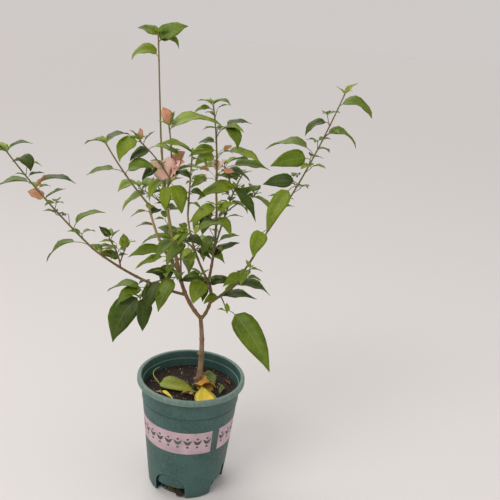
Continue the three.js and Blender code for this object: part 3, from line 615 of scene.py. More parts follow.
def blade_edge(base, spec, share, hand):
    ahead = unit(spec["heading"], spec["rise"] - spec["arch"] * share)
    turn = math.radians(spec["heading"])
    level = np.array([-math.sin(turn), math.cos(turn), 0])
    roll = math.radians(spec["roll"])
    left = level * math.cos(roll) + np.cross(ahead, level) * math.sin(roll)
    face = np.cross(ahead, left)
    reach = 0.5 * BLADE_WIDTH * spec["breadth"] * spec["length"] * share**0.55 * (1 - share)**1.2 / WIDEST
    fold = math.radians(BLADE_FOLD)
    return midrib(base, spec, share) + left * hand * reach * math.cos(fold) + face * reach * math.sin(fold)


def blade_points(root, spec):
    """Points that stand for a blade when leaves are kept apart."""
    base = blade_base(root, spec)
    spots = []
    for share in (0.05, 0.25, 0.45, 0.65, 0.85, 1):
        spots.append(midrib(base, spec, share))
        spots.append(blade_edge(base, spec, share, 0.8))
        spots.append(blade_edge(base, spec, share, -0.8))
    return np.array(spots)


print("The widest point of a 40 mm leaf is", round(BLADE_WIDTH * 40, 1), "mm across")

# %% [markdown]
# ## Growing the masses
# On a real twig the leaves stand round the stem by the golden angle, so that none shades the one under
# it. The rule deals them out the same way, with a seeded stream of numbers for small differences, and
# a leaf that would touch another leaf, a limb or another mass is turned on, or left out.

# %% Seeded rule
GOLDEN_ANGLE = 137.5
LEAF_CLEARANCE = 7
TWIG_CLEARANCE = 3
TRIES = 6


def seeded(seed):
    """The same stream of numbers from 0 to 1 for the same seed, on any machine."""
    state = seed
    for warm_up in range(2):
        state = (state * 1664525 + 1013904223) % 4294967296
    while True:
        state = (state * 1664525 + 1013904223) % 4294967296
        yield state / 4294967296


class Room:
    """What is in place already: points, whose they are and the clearance they need."""

    def __init__(self):
        self.spots = np.zeros((0, 3))
        self.owners = np.zeros(0, int)
        self.clearances = np.zeros(0)
        self.names = {}

    def number(self, owner):
        return self.names.setdefault(owner, len(self.names))

    def take(self, owner, spots, clearance):
        self.spots = np.vstack([self.spots, spots])
        self.owners = np.append(self.owners, np.full(len(spots), self.number(owner)))
        self.clearances = np.append(self.clearances, np.full(len(spots), float(clearance)))

    def is_free(self, owner, spots, scale=1.0):
        counts = (self.owners != self.number(owner)) | (self.clearances == LEAF_CLEARANCE)
        gaps = np.linalg.norm(spots[:, None, :] - self.spots[None, counts, :], axis=2)
        return bool((gaps >= scale * self.clearances[counts]).all())


def line_points(line):
    steps = math.ceil(line.length() / 4)
    return np.array([line.along(step / steps) for step in range(steps + 1)])


def twig_lines(row):
    """A mass's stem and its branches."""
    stem = grown_line(row, limbs)
    lines = [stem]
    for at, heading, rise, length in row.get("branches", ()):
        root = stem.along(at)
        tip = root + unit(heading, rise) * length
        lines.append(Line(root, tip, (0, 0, 0.06 * length), (0.85 * stem.radius(at), 0.7)))
    return lines


room = Room()
for limb_name, limb in limbs.items():
    room.take(limb_name, line_points(limb), TWIG_CLEARANCE + limb.radii[0])
masses = {}
for mass_name, row in MASSES.items():
    lines = twig_lines(row)
    for line in lines:
        room.take(mass_name, line_points(line), TWIG_CLEARANCE)
    masses[mass_name] = dict(twigs=lines, leaves=[])

for mass_name, row in MASSES.items():
    mass = masses[mass_name]
    for spec in row["own"]:
        twig = mass["twigs"][1 if spec["at"] < 0 else 0]
        mass["leaves"].append((twig.along(abs(spec["at"])), spec))
    for root, spec in mass["leaves"]:
        room.take(mass_name, blade_points(root, spec), LEAF_CLEARANCE)


def ruled_leaf(twig, number, attempt, at, draw, size):
    """A leaf that leans along its twig and upwards, turned round it by the golden angle."""
    turn = math.radians(GOLDEN_ANGLE * (number + attempt) + 40 * next(draw))
    ahead = (twig.tip - twig.root) / np.linalg.norm(twig.tip - twig.root)
    across = np.array([-ahead[1], ahead[0], 0.001])
    across /= np.linalg.norm(across)
    beside = np.cross(ahead, across)
    way = across * math.cos(turn) + beside * math.sin(turn) + 0.5 * ahead + np.array([0, 0, 0.3])
    way /= np.linalg.norm(way)
    heading = math.degrees(math.atan2(way[1], way[0]))
    rise = math.degrees(math.asin(way[2])) * 0.7
    length = size * (0.8 + 0.4 * next(draw))
    arch = 40 + 40 * next(draw)
    return leaf(at, heading, rise, length, arch, 50 * next(draw) - 25)


for mass_name, row in MASSES.items():
    mass = masses[mass_name]
    draw = seeded(row["seed"])
    for number in range(row["more"]):
        twig = mass["twigs"][(number + 1) % len(mass["twigs"])]
        tier = number // len(mass["twigs"])
        for attempt in range(TRIES):
            at = max(0.15, 1 - 0.17 * tier - 0.15 * next(draw))
            spec = ruled_leaf(twig, number, attempt, at, draw, row["size"])
            root = twig.along(at)
            spots = blade_points(root, spec)
            if room.is_free(mass_name, spots):
                mass["leaves"].append((root, spec))
                room.take(mass_name, spots, LEAF_CLEARANCE)
                break
print("Leaves by mass:", {name: len(mass["leaves"]) for name, mass in masses.items()})

# %% [markdown]
# ## Side shoots
# The solids stop at leaves on their twigs. A real bougainvillea also has short side shoots in the leaf
# axils, each with a few small leaves, and soft new leaves at every tip. They are dealt out here by the
# same seeded rule, with a smaller clearance, and only inside the space that their mass holds already,
# so that the gaps between the masses stay open.

# %% Side shoots
SHOOT_CLEARANCE = 0.45
SHOOT_SPACING = 20
SHOOT_START = 0.12
SHOOT_SPREAD = 0.8
SHOOT_LAST = 0.95
SHOOT_LENGTH = 6, 14
SHOOT_RADII = 0.5, 0.4
SHOOT_LEAF_SIZE = 12, 21
LEAVES_AT_TIP = 3
REACH_MARGIN = 2
BARE_STEMS = ("foliage_top", "foliage_upper_left")


def between(draw, low, high):
    return low + (high - low) * next(draw)


def mass_space(mass_name):
    low, high = (np.array(corner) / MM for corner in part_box(mass_name))
    return low - REACH_MARGIN, high + REACH_MARGIN


def fits(mass_name, spots, space):
    inside = (spots > space[0]).all() and (spots < space[1]).all()
    return inside and room.is_free(mass_name, spots, SHOOT_CLEARANCE)


def tip_leaves(mass, twig, draw):
    """Three soft new leaves that open at a twig's tip."""
    ahead = twig.tip - twig.root
    heading = math.degrees(math.atan2(ahead[1], ahead[0]))
    for number in range(LEAVES_AT_TIP):
        turn = heading + GOLDEN_ANGLE * number + 30 * next(draw)
        spec = leaf(1, turn, 55 - 12 * number, 7 + 3 * number + 3 * next(draw), 20, tint=YOUNG)
        mass["small"].append((twig.along(0.99), spec))


def side_shoot(mass_name, mass, twig, at, number, draw, space):
    """A short shoot with small leaves at its tip, or nothing where there is no room."""
    spec = ruled_leaf(twig, number, 0, at, draw, SHOOT_LEAF_SIZE[0])
    root = twig.along(at)
    tip = root + unit(spec["heading"], spec["rise"] + STALK_LIFT) * between(draw, *SHOOT_LENGTH)
    shoot = Line(root, tip, (0, 0, 0.8), SHOOT_RADII)
    small = []
    for count in range(LEAVES_AT_TIP):
        turn = spec["heading"] + GOLDEN_ANGLE * count
        size = between(draw, *SHOOT_LEAF_SIZE)
        new = leaf(1, turn, between(draw, 35, 15), size, between(draw, 30, 60), between(draw, -15, 15))
        if fits(mass_name, blade_points(tip, new), space):
            small.append((tip, new))
    if small:
        mass["shoots"].append(shoot)
        mass["small"] += small
        for root, new in small:
            room.take(mass_name, blade_points(root, new), LEAF_CLEARANCE)


for mass_name, row in MASSES.items():
    mass = masses[mass_name]
    mass["shoots"], mass["small"] = [], []
    draw = seeded(100 + row["seed"])
    space = mass_space(mass_name)
    for twig in mass["twigs"]:
        tip_leaves(mass, twig, draw)
        if mass_name in BARE_STEMS:
            continue
        for number in range(int(twig.length() / SHOOT_SPACING)):
            at = SHOOT_START + SHOOT_SPREAD * (number + 0.5 * next(draw)) * SHOOT_SPACING / twig.length()
            side_shoot(mass_name, mass, twig, min(at, SHOOT_LAST), number, draw, space)
print("Side shoots:", sum(len(mass["shoots"]) for mass in masses.values()),
      "small leaves:", sum(len(mass["small"]) for mass in masses.values()))

# %% [markdown]
# ## Leaf colours
# A bougainvillea leaf is a waxy mid green above, duller below, and soft yellow-green while it is new.
# A plain Principled shader with a fairly low roughness gives the wax. Light that comes through from
# behind is a little subsurface scattering, in green. The midrib and the side veins follow the blade's
# own map, which the leaf tree stores: one direction runs from stalk to tip, the other from edge to
# edge.

# %% Leaf materials
def linear(red, green, blue):
    """A colour as read from a picture, 0 to 255, turned into Blender's linear values."""
    return tuple(round((part / 255 + 0.055)**2.4 / 1.055**2.4, 4) for part in (red, green, blue))


def noise(tree, scale, detail=3, stretch=(1, 1, 1), roughness=0.55):
    """Noise on the piece's own coordinates, from 0 to 1. Scale is in repeats for each millimetre."""
    place = node(tree, "ShaderNodeTexCoord").outputs["Object"]
    sized = [factor / MM for factor in stretch]
    mapping = node(tree, "ShaderNodeMapping", Vector=place, Scale=sized)
    made = node(tree, "ShaderNodeTexNoise", Vector=mapping.outputs[0], Scale=scale, Detail=detail,
                Roughness=roughness)
    return Field(tree, made.outputs["Fac"])


def blend(tree, share, first, second):
    """A mix of two colours, each a colour or a socket."""
    made = node(tree, "ShaderNodeMix", {"data_type": "RGBA"})
    plug(tree, made.inputs[0], share)
    for socket, colour in ((made.inputs[6], first), (made.inputs[7], second)):
        plug(tree, socket, (*colour, 1) if isinstance(colour, tuple) else colour)
    return made.outputs[2]


def bump(tree, shader, height, strength, distance):
    made = node(tree, "ShaderNodeBump", Height=height, Strength=strength, Distance=distance * MM)
    tree.links.new(made.outputs[0], shader.inputs["Normal"])


def step_between(tree, value, low, high):
    """A soft step from 0 at the low value to 1 at the high one."""
    made = node(tree, "ShaderNodeMapRange", {"interpolation_type": "SMOOTHSTEP"}, Value=value)
    made.inputs["From Min"].default_value = low
    made.inputs["From Max"].default_value = high
    return Field(tree, made.outputs[0])


def step_mm(tree, value, low, high):
    """The same between two sizes in millimetres."""
    return step_between(tree, value, low * MM, high * MM)


VEIN_PAIRS = 7


def vein_lines(tree):
    """1 on the midrib and the side veins of a blade, 0 between them."""
    mapped = node(tree, "ShaderNodeUVMap", {"uv_map": "blade"}).outputs[0]
    share, side, unused = split(tree, mapped)
    across = side.size()
    middle = step_between(tree, across, 0.07, 0.02)
    wave = ((share - across * 0.16) * VEIN_PAIRS).math("FRACT") - 0.5
    veins = step_between(tree, wave.size(), 0.11, 0.02) * step_between(tree, across, 1.0, 0.3)
    return middle.math("MAXIMUM", veins * 0.6)


def blade_finish(name, colour, shade, vein, roughness, glow, vein_depth=0.25):
    """A blade's finish: cloudy colour, paler veins in shallow relief, waxy gloss and light through it."""
    colour, shade, vein = linear(*colour), linear(*shade), linear(*vein)
    made, tree, shader = material(name, colour, roughness)
    cloud = noise(tree, 0.05, 3)
    lines = vein_lines(tree)
    base = blend(tree, step_between(tree, cloud, 0.35, 0.68), colour, shade)
    shader.inputs["Specular IOR Level"].default_value = 0.25
    plug(tree, shader.inputs["Base Color"], blend(tree, lines * 0.35, base, vein))
    plug(tree, shader.inputs["Roughness"], noise(tree, 0.4, 2) * 0.15 + (roughness - 0.07))
    shader.inputs["Subsurface Weight"].default_value = glow
    shader.inputs["Subsurface Radius"].default_value = (0.9, 1.6, 0.3)
    shader.inputs["Subsurface Scale"].default_value = MM
    bump(tree, shader, lines * -1.0 + noise(tree, 0.7, 2) * 0.4, 0.5, vein_depth)
    return made


# Bright and Deep are the same green as lit and as shaded: painted light and painted shade.
leaf_paint = {
    "Green": blade_finish("leaf_green", (98, 118, 26), (78, 96, 18), (146, 158, 72), 0.42, 0.2),
    "Bright": blade_finish("leaf_green_painted_light", (124, 140, 30), (102, 120, 24), (168, 176, 84), 0.42, 0.25),
    "Deep": blade_finish("leaf_green_painted_shade", (64, 80, 18), (48, 63, 12), (108, 122, 56), 0.4, 0.15),
    "Young": blade_finish("leaf_young", (138, 152, 52), (120, 136, 42), (170, 178, 92), 0.45, 0.3),
    "Pink": blade_finish("bract_pink", (246, 206, 200), (236, 182, 164), (216, 150, 134), 0.6, 0.3, 0.15),
    "Dried": blade_finish("bract_dried", (216, 160, 132), (190, 126, 102), (164, 102, 80), 0.7, 0.15, 0.3),
    "Underside": blade_finish("leaf_underside", (106, 122, 50), (90, 106, 40), (150, 160, 96), 0.55, 0.2),
    "Stalk": blade_finish("stalk_green", (136, 138, 58), (116, 118, 50), (136, 138, 58), 0.5, 0.1, 0),
}
print("Blade materials:", [made.name for made in leaf_paint.values()])

# %% [markdown]
# ## The leaf tree
# Every leaf has the same parts: a stalk, and a blade with an upper and a lower face. That is a job for
# Geometry Nodes. The tree puts a flat template on every point of a cloud, makes the copies real, and
# then moves their points by the blade formulas. The sizes of each leaf travel as attributes of its
# point. The template has few faces, because it is repeated some hundreds of times.

# %% Leaf tree
BLADE_STEPS = 8
BLADE_ACROSS = 4
STALK_STEPS = 5
STALK_SIDES = 4
DEGREE = math.pi / 180


def sheet(tree, steps, across, kind, flipped):
    """A flat grid that knows its share along, its side across and its kind of sheet."""
    grid = node(tree, "GeometryNodeMeshGrid", Size_X=1.0, Size_Y=1.0, Vertices_X=steps + 1,
                Vertices_Y=across + 1)
    geometry = grid.outputs[0]
    if flipped:
        geometry = node(tree, "GeometryNodeFlipFaces", Mesh=geometry).outputs[0]
    x, y, unused = position(tree)
    geometry = stored(tree, geometry, "share", x + 0.5)
    geometry = stored(tree, geometry, "side", y * 2.0)
    return stored(tree, geometry, "sheet", kind)


def turned_vector(heading, along, up):
    """The vector that goes a length along a heading and a height up."""
    return along * heading.cos(), along * heading.sin(), up


def leaf_tree():
    tree, points, size = new_tree("Leaves along twigs", {
        "Blade width": BLADE_WIDTH, "Blade fold": float(BLADE_FOLD), "Stalk lift": float(STALK_LIFT),
        "Stalk radius": 0.55 * MM, "Blade thickness": 0.5 * MM, "Base fullness": 0.55, "Tip fineness": 1.2,
        "Widest": WIDEST, "Edge wave": 0.035, **leaf_paint})
    template = node(tree, "GeometryNodeJoinGeometry")
    tree.links.new(sheet(tree, BLADE_STEPS, BLADE_ACROSS, 1.0, False), template.inputs[0])
    tree.links.new(sheet(tree, BLADE_STEPS, BLADE_ACROSS, -1.0, True), template.inputs[0])
    tree.links.new(sheet(tree, STALK_STEPS, STALK_SIDES, 0.0, True), template.inputs[0])
    placed = node(tree, "GeometryNodeInstanceOnPoints", Points=points, Instance=template.outputs[0])
    geometry = node(tree, "GeometryNodeRealizeInstances", Geometry=placed.outputs[0]).outputs[0]

    read = {name: named(tree, name) for name in (
        "heading", "rise", "length", "arch", "roll", "stalk", "breadth", "wave", "root_x", "root_y",
        "root_z", "share", "side", "sheet")}
    heading = read["heading"] * DEGREE
    rise = read["rise"] * DEGREE
    bend = read["arch"] * DEGREE
    roll = read["roll"] * DEGREE
    is_blade = read["sheet"].size()
    share = (read["share"] ** 1.2) * is_blade
    side = read["side"]

    slope = rise - bend * share
    out = (rise.sin() - slope.sin()) / bend * read["length"]
    up = (slope.cos() - rise.cos()) / bend * read["length"]
    lift = rise + size["Stalk lift"] * DEGREE
    reached = ((read["share"] - 0.2) / 0.6).math("MAXIMUM", 0.0).math("MINIMUM", 1.0)
    reached = reached + (is_blade * (reached * -1.0 + 1.0))
    arc = reached * (reached * -1.0 + 1.0) * read["stalk"] * 0.45
    stalk_out = lift.cos() * read["stalk"] * reached - lift.sin() * arc
    stalk_up = lift.sin() * read["stalk"] * reached + lift.cos() * arc
    along = out + stalk_out

    level_x, level_y = heading.sin() * -1.0, heading.cos()
    normal_x, normal_y, normal_z = turned_vector(heading, slope.sin() * -1.0, slope.cos())
    left = [level_x * roll.cos() + normal_x * roll.sin(), level_y * roll.cos() + normal_y * roll.sin(),
            normal_z * roll.sin()]
    face = [normal_x * roll.cos() - level_x * roll.sin(), normal_y * roll.cos() - level_y * roll.sin(),
            normal_z * roll.cos()]

    reach = size["Blade width"] * 0.5 * read["breadth"] * read["length"] * (share ** size["Base fullness"])
    reach = reach * ((share * -1.0 + 1.0).math("MAXIMUM", 0.0) ** size["Tip fineness"]) / size["Widest"]
    fold = size["Blade fold"] * DEGREE
    ripple = (share * 11.0 + read["wave"] + side).sin() * side * side * size["Edge wave"] * read["length"]
    ripple = ripple * (share * (share * -1.0 + 1.0) * 4.0)
    sheet_gap = read["sheet"] * size["Blade thickness"] * 0.5 * (side * side * -1.0 + 1.0)
    blade_left = side * reach * fold.cos()
    blade_face = (side.size() ** 1.35) * reach * fold.sin() + ripple + sheet_gap

    round_stalk = side * math.pi
    open_end = read["share"] * (read["share"] * -1.0 + 1.0)
    thick = open_end.math("GREATER_THAN", 0.05) * size["Stalk radius"]
    stalk_left = round_stalk.cos() * thick
    stalk_face = round_stalk.sin() * thick
    to_left = blade_left * is_blade + stalk_left * (is_blade * -1.0 + 1.0)
    to_face = blade_face * is_blade + stalk_face * (is_blade * -1.0 + 1.0)
    middle = turned_vector(heading, along, up + stalk_up)
    root = read["root_x"], read["root_y"], read["root_z"]
    place = [middle[axis] + root[axis] + to_left * left[axis] + to_face * face[axis] for axis in range(3)]

    geometry = stored(tree, geometry, "blade", vector(tree, share, side, 0.0), "FLOAT2", "CORNER")
    geometry = moved_to(tree, geometry, *place)
    for number, label in enumerate(("Green", "Bright", "Deep", "Young", "Pink", "Dried")):
        geometry = painted(tree, geometry, named(tree, "tint"), number, size[label])
    green_below = named(tree, "tint").math("LESS_THAN", 2.5) * named(tree, "sheet").math("LESS_THAN", -0.5)
    geometry = painted(tree, geometry, green_below, 1, size["Underside"])
    geometry = painted(tree, geometry, named(tree, "sheet"), 0, size["Stalk"])
    merged = node(tree, "GeometryNodeMergeByDistance", Geometry=geometry, Distance=0.01 * MM)
    close_tree(tree, smoothed(tree, merged.outputs[0]))
    return tree


def painted(tree, geometry, value, wanted, paint):
    """Gives a material to the faces whose value is the wanted one."""
    settings = {"data_type": "FLOAT", "operation": "EQUAL"}
    same = node(tree, "FunctionNodeCompare", settings, A=value, B=wanted, Epsilon=0.1)
    made = node(tree, "GeometryNodeSetMaterial", Geometry=geometry, Selection=same.outputs[0], Material=paint)
    return made.outputs[0]


leaves_rule = leaf_tree()
print("The leaf tree has", len(leaves_rule.nodes), "nodes")

# %% [markdown]
# ## Leaves, small leaves and bracts
# The cloud has one point for each leaf. Colours are dealt out here, one plain colour to a leaf: mostly
# mid green, some brighter and some deeper, as in a crown lit from one side. Bracts run through the same
# tree with other sizes: fuller at the base, blunter at the tip, thinner and more rippled, like paper.

# %% Grow the leaves
# The brighter and deeper greens stand for leaves in light and in shade: painted light and shade, dealt at
# random.
def deal_tint(draw):
    chance = next(draw)
    if chance < 0.5:
        return GREEN
    return BRIGHT if chance < 0.78 else DEEP


def leaf_cloud(name, leaves, seed):
    draw = seeded(seed)
    cloud = mesh_object(name, [root for root, spec in leaves])
    for key in ("heading", "rise", "arch", "roll", "breadth"):
        add_attribute(cloud, key, [spec[key] for root, spec in leaves])
    for key in ("length", "stalk"):
        add_attribute(cloud, key, [spec[key] * MM for root, spec in leaves])
    for axis, key in enumerate(("root_x", "root_y", "root_z")):
        add_attribute(cloud, key, [root[axis] * MM for root, spec in leaves])
    add_attribute(cloud, "wave", [6.28 * next(draw) for root, spec in leaves])
    dealt = [deal_tint(draw) if spec["tint"] is None else spec["tint"] for root, spec in leaves]
    add_attribute(cloud, "tint", dealt)
    return cloud


foliage_nodes = list(MASSES)
large_leaves = [pair for mass in masses.values() for pair in mass["leaves"] if pair[1]["kind"] == "leaf"]
small_leaves = [pair for mass in masses.values() for pair in mass["small"]]
bract_leaves = [pair for mass in masses.values() for pair in mass["leaves"] if pair[1]["kind"] == "bract"]

leaves = grow(leaf_cloud("leaf_points", large_leaves, 31), leaves_rule, "leaves")
settle(leaves, "foliage", *foliage_nodes)
young = grow(leaf_cloud("small_leaf_points", small_leaves, 32), leaves_rule, "small_leaves",
             Stalk_radius=0.3 * MM, Blade_thickness=0.3 * MM)
settle(young, "foliage", *foliage_nodes)
bracts = grow(leaf_cloud("bract_points", bract_leaves, 33), leaves_rule, "bracts", Blade_thickness=0.25 * MM,
              Stalk_radius=0.35 * MM, Base_fullness=0.5, Tip_fineness=0.75, Widest=0.46, Edge_wave=0.07,
              Blade_fold=10.0)
settle(bracts, "foliage", *foliage_nodes)

# %% [markdown]
# ## Twigs
# A twig is a tapering tube with a little swelling at every leaf. The lines go in as a mesh of edges
# with a thickness at every point, and a second tree turns them into curves and sweeps a round section
# along them. Their roots start inside the bough, so that no gap shows.

# %% Twig tree
LEAF_SWELL = 0.22
SWELL_LENGTH = 1.6
TWIG_STEP = 1.6
FEWEST_STEPS = 12


def twig_tree():
    tree, lines, size = new_tree("Round twigs", {"Sides": 8, "Bark": leaf_paint["Stalk"]})
    curves = node(tree, "GeometryNodeMeshToCurve", Mesh=lines).outputs[0]
    section = node(tree, "GeometryNodeCurvePrimitiveCircle", {"mode": "RADIUS"}, Resolution=size["Sides"],
                   Radius=1.0).outputs[0]
    tube = node(tree, "GeometryNodeCurveToMesh", Curve=curves, Profile_Curve=section, Fill_Caps=True,
                Scale=named(tree, "thickness"))
    close_tree(tree, smoothed(tree, tube.outputs[0]), size["Bark"])
    return tree


def line_mesh(name, rows):
    """Edges along lines. Each row is a line, its steps and the shares where a leaf swells it."""
    points, edges, thickness = [], [], []
    for line, steps, nodes_at in rows:
        for step in range(steps + 1):
            share = step / steps
            if step:
                edges.append((len(points) - 1, len(points)))
            swell = sum(math.exp(-((share - at) * line.length() / SWELL_LENGTH)**2) for at in nodes_at)
            points.append(line.along(share))
            thickness.append(line.radius(share) * (1 + LEAF_SWELL * min(swell, 1)) * MM)
    made = mesh_object(name, points, edges)
    add_attribute(made, "thickness", thickness)
    return made


def twig_finish():
    made, tree, shader = material("young_bark", linear(132, 122, 72), 0.6)
    cloud = noise(tree, 0.05, 3, (1, 1, 0.4))
    grain = noise(tree, 1.2, 3, (1, 1, 0.25))
    tone = blend(tree, step_between(tree, cloud, 0.38, 0.62), linear(132, 106, 78), linear(118, 122, 58))
    plug(tree, shader.inputs["Base Color"], blend(tree, grain * 0.5, tone, linear(92, 74, 52)))
    bump(tree, shader, grain, 0.4, 0.2)
    return made


twig_bark = twig_finish()
round_twigs = twig_tree()
twig_rows = []
for mass in masses.values():
    for count, twig in enumerate(mass["twigs"]):
        on_twig = [abs(spec["at"]) for root, spec in mass["leaves"] if (spec["at"] < 0) == (count == 1)]
        twig_rows.append((twig, max(FEWEST_STEPS, int(twig.length() / TWIG_STEP)), on_twig))
    twig_rows += [(shoot, 5, [1.0]) for shoot in mass["shoots"]]
twigs = grow(line_mesh("twig_lines", twig_rows), round_twigs, "twigs", Bark=twig_bark)
settle(twigs, "bark", *foliage_nodes)

# %% [markdown]
# ## Bark: one skin over trunk and boughs
# The trunk and the boughs of the model are separate solids with a hair's gap between them. Real bark
# runs on over the forks, so the visible limbs are swept as tubes, joined, and remeshed with a fine
# voxel grid, which melts them into one skin. A last tree pushes that skin in and out along its normals
# with noise stretched up the stem: the shallow ridges and cracks of young bark.

# %% Limb skin
VOXEL = 0.55
BOUGH_SCARS = [0.18, 0.36, 0.55, 0.74, 0.9]
LEAF_SCARS = {"trunk": [0.47, 0.68]}
KNOTS = [((6.8, 9.6, 186), 2.1), ((12.6, 9, 207), 1.5), ((4.6, 9, 148), 2.6)]


def knot_ball(place, radius):
    """A small swelling where a leaf or shoot once grew."""
    made = new_ball("knot", radius, 3)
    made.data.transform(Matrix.Translation(Vector(place) * MM) @ Matrix.Diagonal((1, 1, 0.8, 1)))
    return made


def new_ball(name, radius, divisions):
    bpy.ops.mesh.primitive_ico_sphere_add(subdivisions=divisions, radius=radius * MM)
    made = bpy.context.object
    made.name = name
    return made


def joined(pieces, name):
    """Several objects as one."""
    with bpy.context.temp_override(active_object=pieces[0], selected_editable_objects=pieces):
        bpy.ops.object.join()
    pieces[0].name = name
    return pieces[0]


def applied(piece):
    """Replaces an object's mesh by what its modifiers make of it."""
    seen = piece.evaluated_get(bpy.context.evaluated_depsgraph_get())
    mesh = bpy.data.meshes.new_from_object(seen)
    piece.modifiers.clear()
    piece.data = mesh
    mesh.name = piece.name
    return piece


def relief_tree():
    tree, skin, size = new_tree("Bark relief", {
        "Ridge depth": 0.16 * MM, "Ridge width": 1.6 * MM, "Ridge length": 14.0 * MM, "Bark": twig_bark})
    x, y, z = position(tree)
    stretched = vector(tree, x / size["Ridge width"], y / size["Ridge width"], z / size["Ridge length"])
    ridges = uneven(tree, stretched, 1.0, 4.0, 0.6) * size["Ridge depth"] * 2.0
    lumps = uneven(tree, vector(tree, x, y, z), 90.0, 1.0) * size["Ridge depth"] * 1.5
    close_tree(tree, smoothed(tree, pushed(tree, skin, ridges + lumps)), size["Bark"])
    return tree


def bark_finish():
    """Grey-tan bark with lighter ridges, fine cracks and a warmer tone on the boughs."""
    made, tree, shader = material("bark", linear(134, 110, 86), 0.85)
    place = node(tree, "ShaderNodeTexCoord").outputs["Object"]
    height = split(tree, place)[2]
    ridges = noise(tree, 0.55, 4, (1, 1, 0.14))
    patches = noise(tree, 0.06, 3)
    sharper = step_between(tree, patches, 0.4, 0.6)
    old = blend(tree, step_between(tree, patches, 0.35, 0.65), linear(160, 136, 108), linear(132, 106, 82))
    warm = blend(tree, sharper, linear(140, 108, 74), linear(120, 98, 62))
    tan = blend(tree, sharper, linear(166, 146, 98), linear(148, 134, 80))
    tone = blend(tree, step_between(tree, height, 0.2, 0.25), old, warm)
    tone = blend(tree, step_between(tree, height, 0.31, 0.37), tone, tan)
    cracks = step_between(tree, ridges, 0.3, 0.46)
    plug(tree, shader.inputs["Base Color"], blend(tree, cracks, linear(88, 68, 52), tone))
    bump(tree, shader, ridges, 0.4, 0.3)
    return made


bark = bark_finish()
limb_rows = [(limb, 40, LEAF_SCARS.get(name, BOUGH_SCARS)) for name, limb in limbs.items()]
tubes = grow(line_mesh("limb_lines", limb_rows), round_twigs, "limb_tubes", Sides=24, Bark=bark)
skin = joined([tubes] + [knot_ball(place, radius) for place, radius in KNOTS], "trunk_and_boughs")
remesh = skin.modifiers.new("one_skin", "REMESH")
remesh.mode = "VOXEL"
remesh.voxel_size = VOXEL * MM
softened = skin.modifiers.new("soften", "SMOOTH")
softened.iterations = 3
skin = applied(skin)
limb_skin = grow(skin, relief_tree(), "bark_skin", Bark=bark)
settle(limb_skin, "bark", *LIMBS)

# %% [markdown]
# ## Pot
# A nursery pot is thin blow-moulded plastic: a tapering wall with a faint outer step, a rolled lip, a
# ledge inside for stacking, and four arched notches round the foot, each closed by a sloping panel
# with a drain slot under it. The model's pot has the right shape with flat facets, so this one is
# turned from the same profile with more sides and a rounder lip, and the notches are cut by Booleans.

# %% Pot shell
POT_HEIGHT = 160
RIM_RADIUS = 71.5
RIM_DEPTH = 7.6
RIM_WIDTH = 5.7
NECK_RADIUS = 65.4
STEP_HEIGHT = 129
STEP_RADIUS = 63.6
STEP_OUT = 0.8
GROOVE_DEPTH = 0.4
FOOT_RADIUS = 51.2
FOOT_ROUND = 3
WALL = 1.8
FLOOR = 2.5
LEDGE_HEIGHT = 149.7
LEDGE_RADIUS = 63.6
LEDGE_WIDTH = 0.8
POT_SIDES = 192


def outer_radius(height):
    return FOOT_RADIUS + (STEP_RADIUS - FOOT_RADIUS) * height / STEP_HEIGHT


def inner_radius(height):
    return FOOT_RADIUS - WALL + (LEDGE_RADIUS - FOOT_RADIUS + WALL) * height / LEDGE_HEIGHT


def arc(centre, radius, first, last, steps):
    """Points of a rounded corner in a profile, as radius and height."""
    turns = [math.radians(first + (last - first) * step / steps) for step in range(steps + 1)]
    return [(centre[0] + radius * math.cos(turn), centre[1] + radius * math.sin(turn)) for turn in turns]


def outer_profile():
    neck = POT_HEIGHT - RIM_DEPTH
    profile = [(0, 0)] + arc((FOOT_RADIUS - FOOT_ROUND, FOOT_ROUND), FOOT_ROUND, -90, 0, 5)
    profile += [(outer_radius(share * STEP_HEIGHT), share * STEP_HEIGHT) for share in (0.15, 0.4, 0.7, 0.98)]
    profile += [(STEP_RADIUS, STEP_HEIGHT - 0.8), (STEP_RADIUS - GROOVE_DEPTH, STEP_HEIGHT)]
    profile += [(STEP_RADIUS, STEP_HEIGHT + 0.5), (STEP_RADIUS + STEP_OUT, STEP_HEIGHT + 1.2)]
    profile += [(NECK_RADIUS - 0.3, neck - 3), (NECK_RADIUS, neck)]
    profile += arc((RIM_RADIUS - 1.6, neck + 1.6), 1.6, -90, 0, 4)
    profile += arc((RIM_RADIUS - 2.2, POT_HEIGHT - 2.0), 2.0, 0, 90, 5)
    return profile


def inner_profile(top):
    """The pot's inside, from the rim down to the middle of its floor."""
    lip = RIM_RADIUS - RIM_WIDTH
    profile = arc((lip + 1.4, top - 1.4), 1.4, 90, 180, 4)
    profile += [(LEDGE_RADIUS + LEDGE_WIDTH, LEDGE_HEIGHT + 0.25), (LEDGE_RADIUS, LEDGE_HEIGHT)]
    profile += [(inner_radius(height), height) for height in (120, 80, 40, FLOOR + FOOT_ROUND)]
    return profile + [(inner_radius(FLOOR) - FOOT_ROUND, FLOOR), (0, FLOOR)]


def turned(name, profile, sides=POT_SIDES):
    """A closed mesh turned round the pot's axis; the profile starts and ends on the axis."""
    turns = [2 * math.pi * side / sides for side in range(sides)]
    ring = [(math.cos(turn), math.sin(turn)) for turn in turns]
    points = [(0, 0, profile[0][1])]
    for radius, height in profile[1:-1]:
        points += [(radius * x, radius * y, height) for x, y in ring]
    points.append((0, 0, profile[-1][1]))
    faces = []
    for side in range(sides):
        beside = (side + 1) % sides
        faces.append((0, 1 + beside, 1 + side))
        for level in range(len(profile) - 3):
            low = 1 + level * sides
            faces.append((low + side, low + beside, low + sides + beside, low + sides + side))
        last = 1 + (len(profile) - 3) * sides
        faces.append((last + side, last + beside, len(points) - 1))
    return mesh_object(name, points, (), faces)


def cut_with(piece, tool, operation):
    modifier = piece.modifiers.new("cut", "BOOLEAN")
    modifier.object = tool
    modifier.operation = operation
    modifier.solver = "MANIFOLD"
    applied(piece)
    bpy.data.objects.remove(tool)


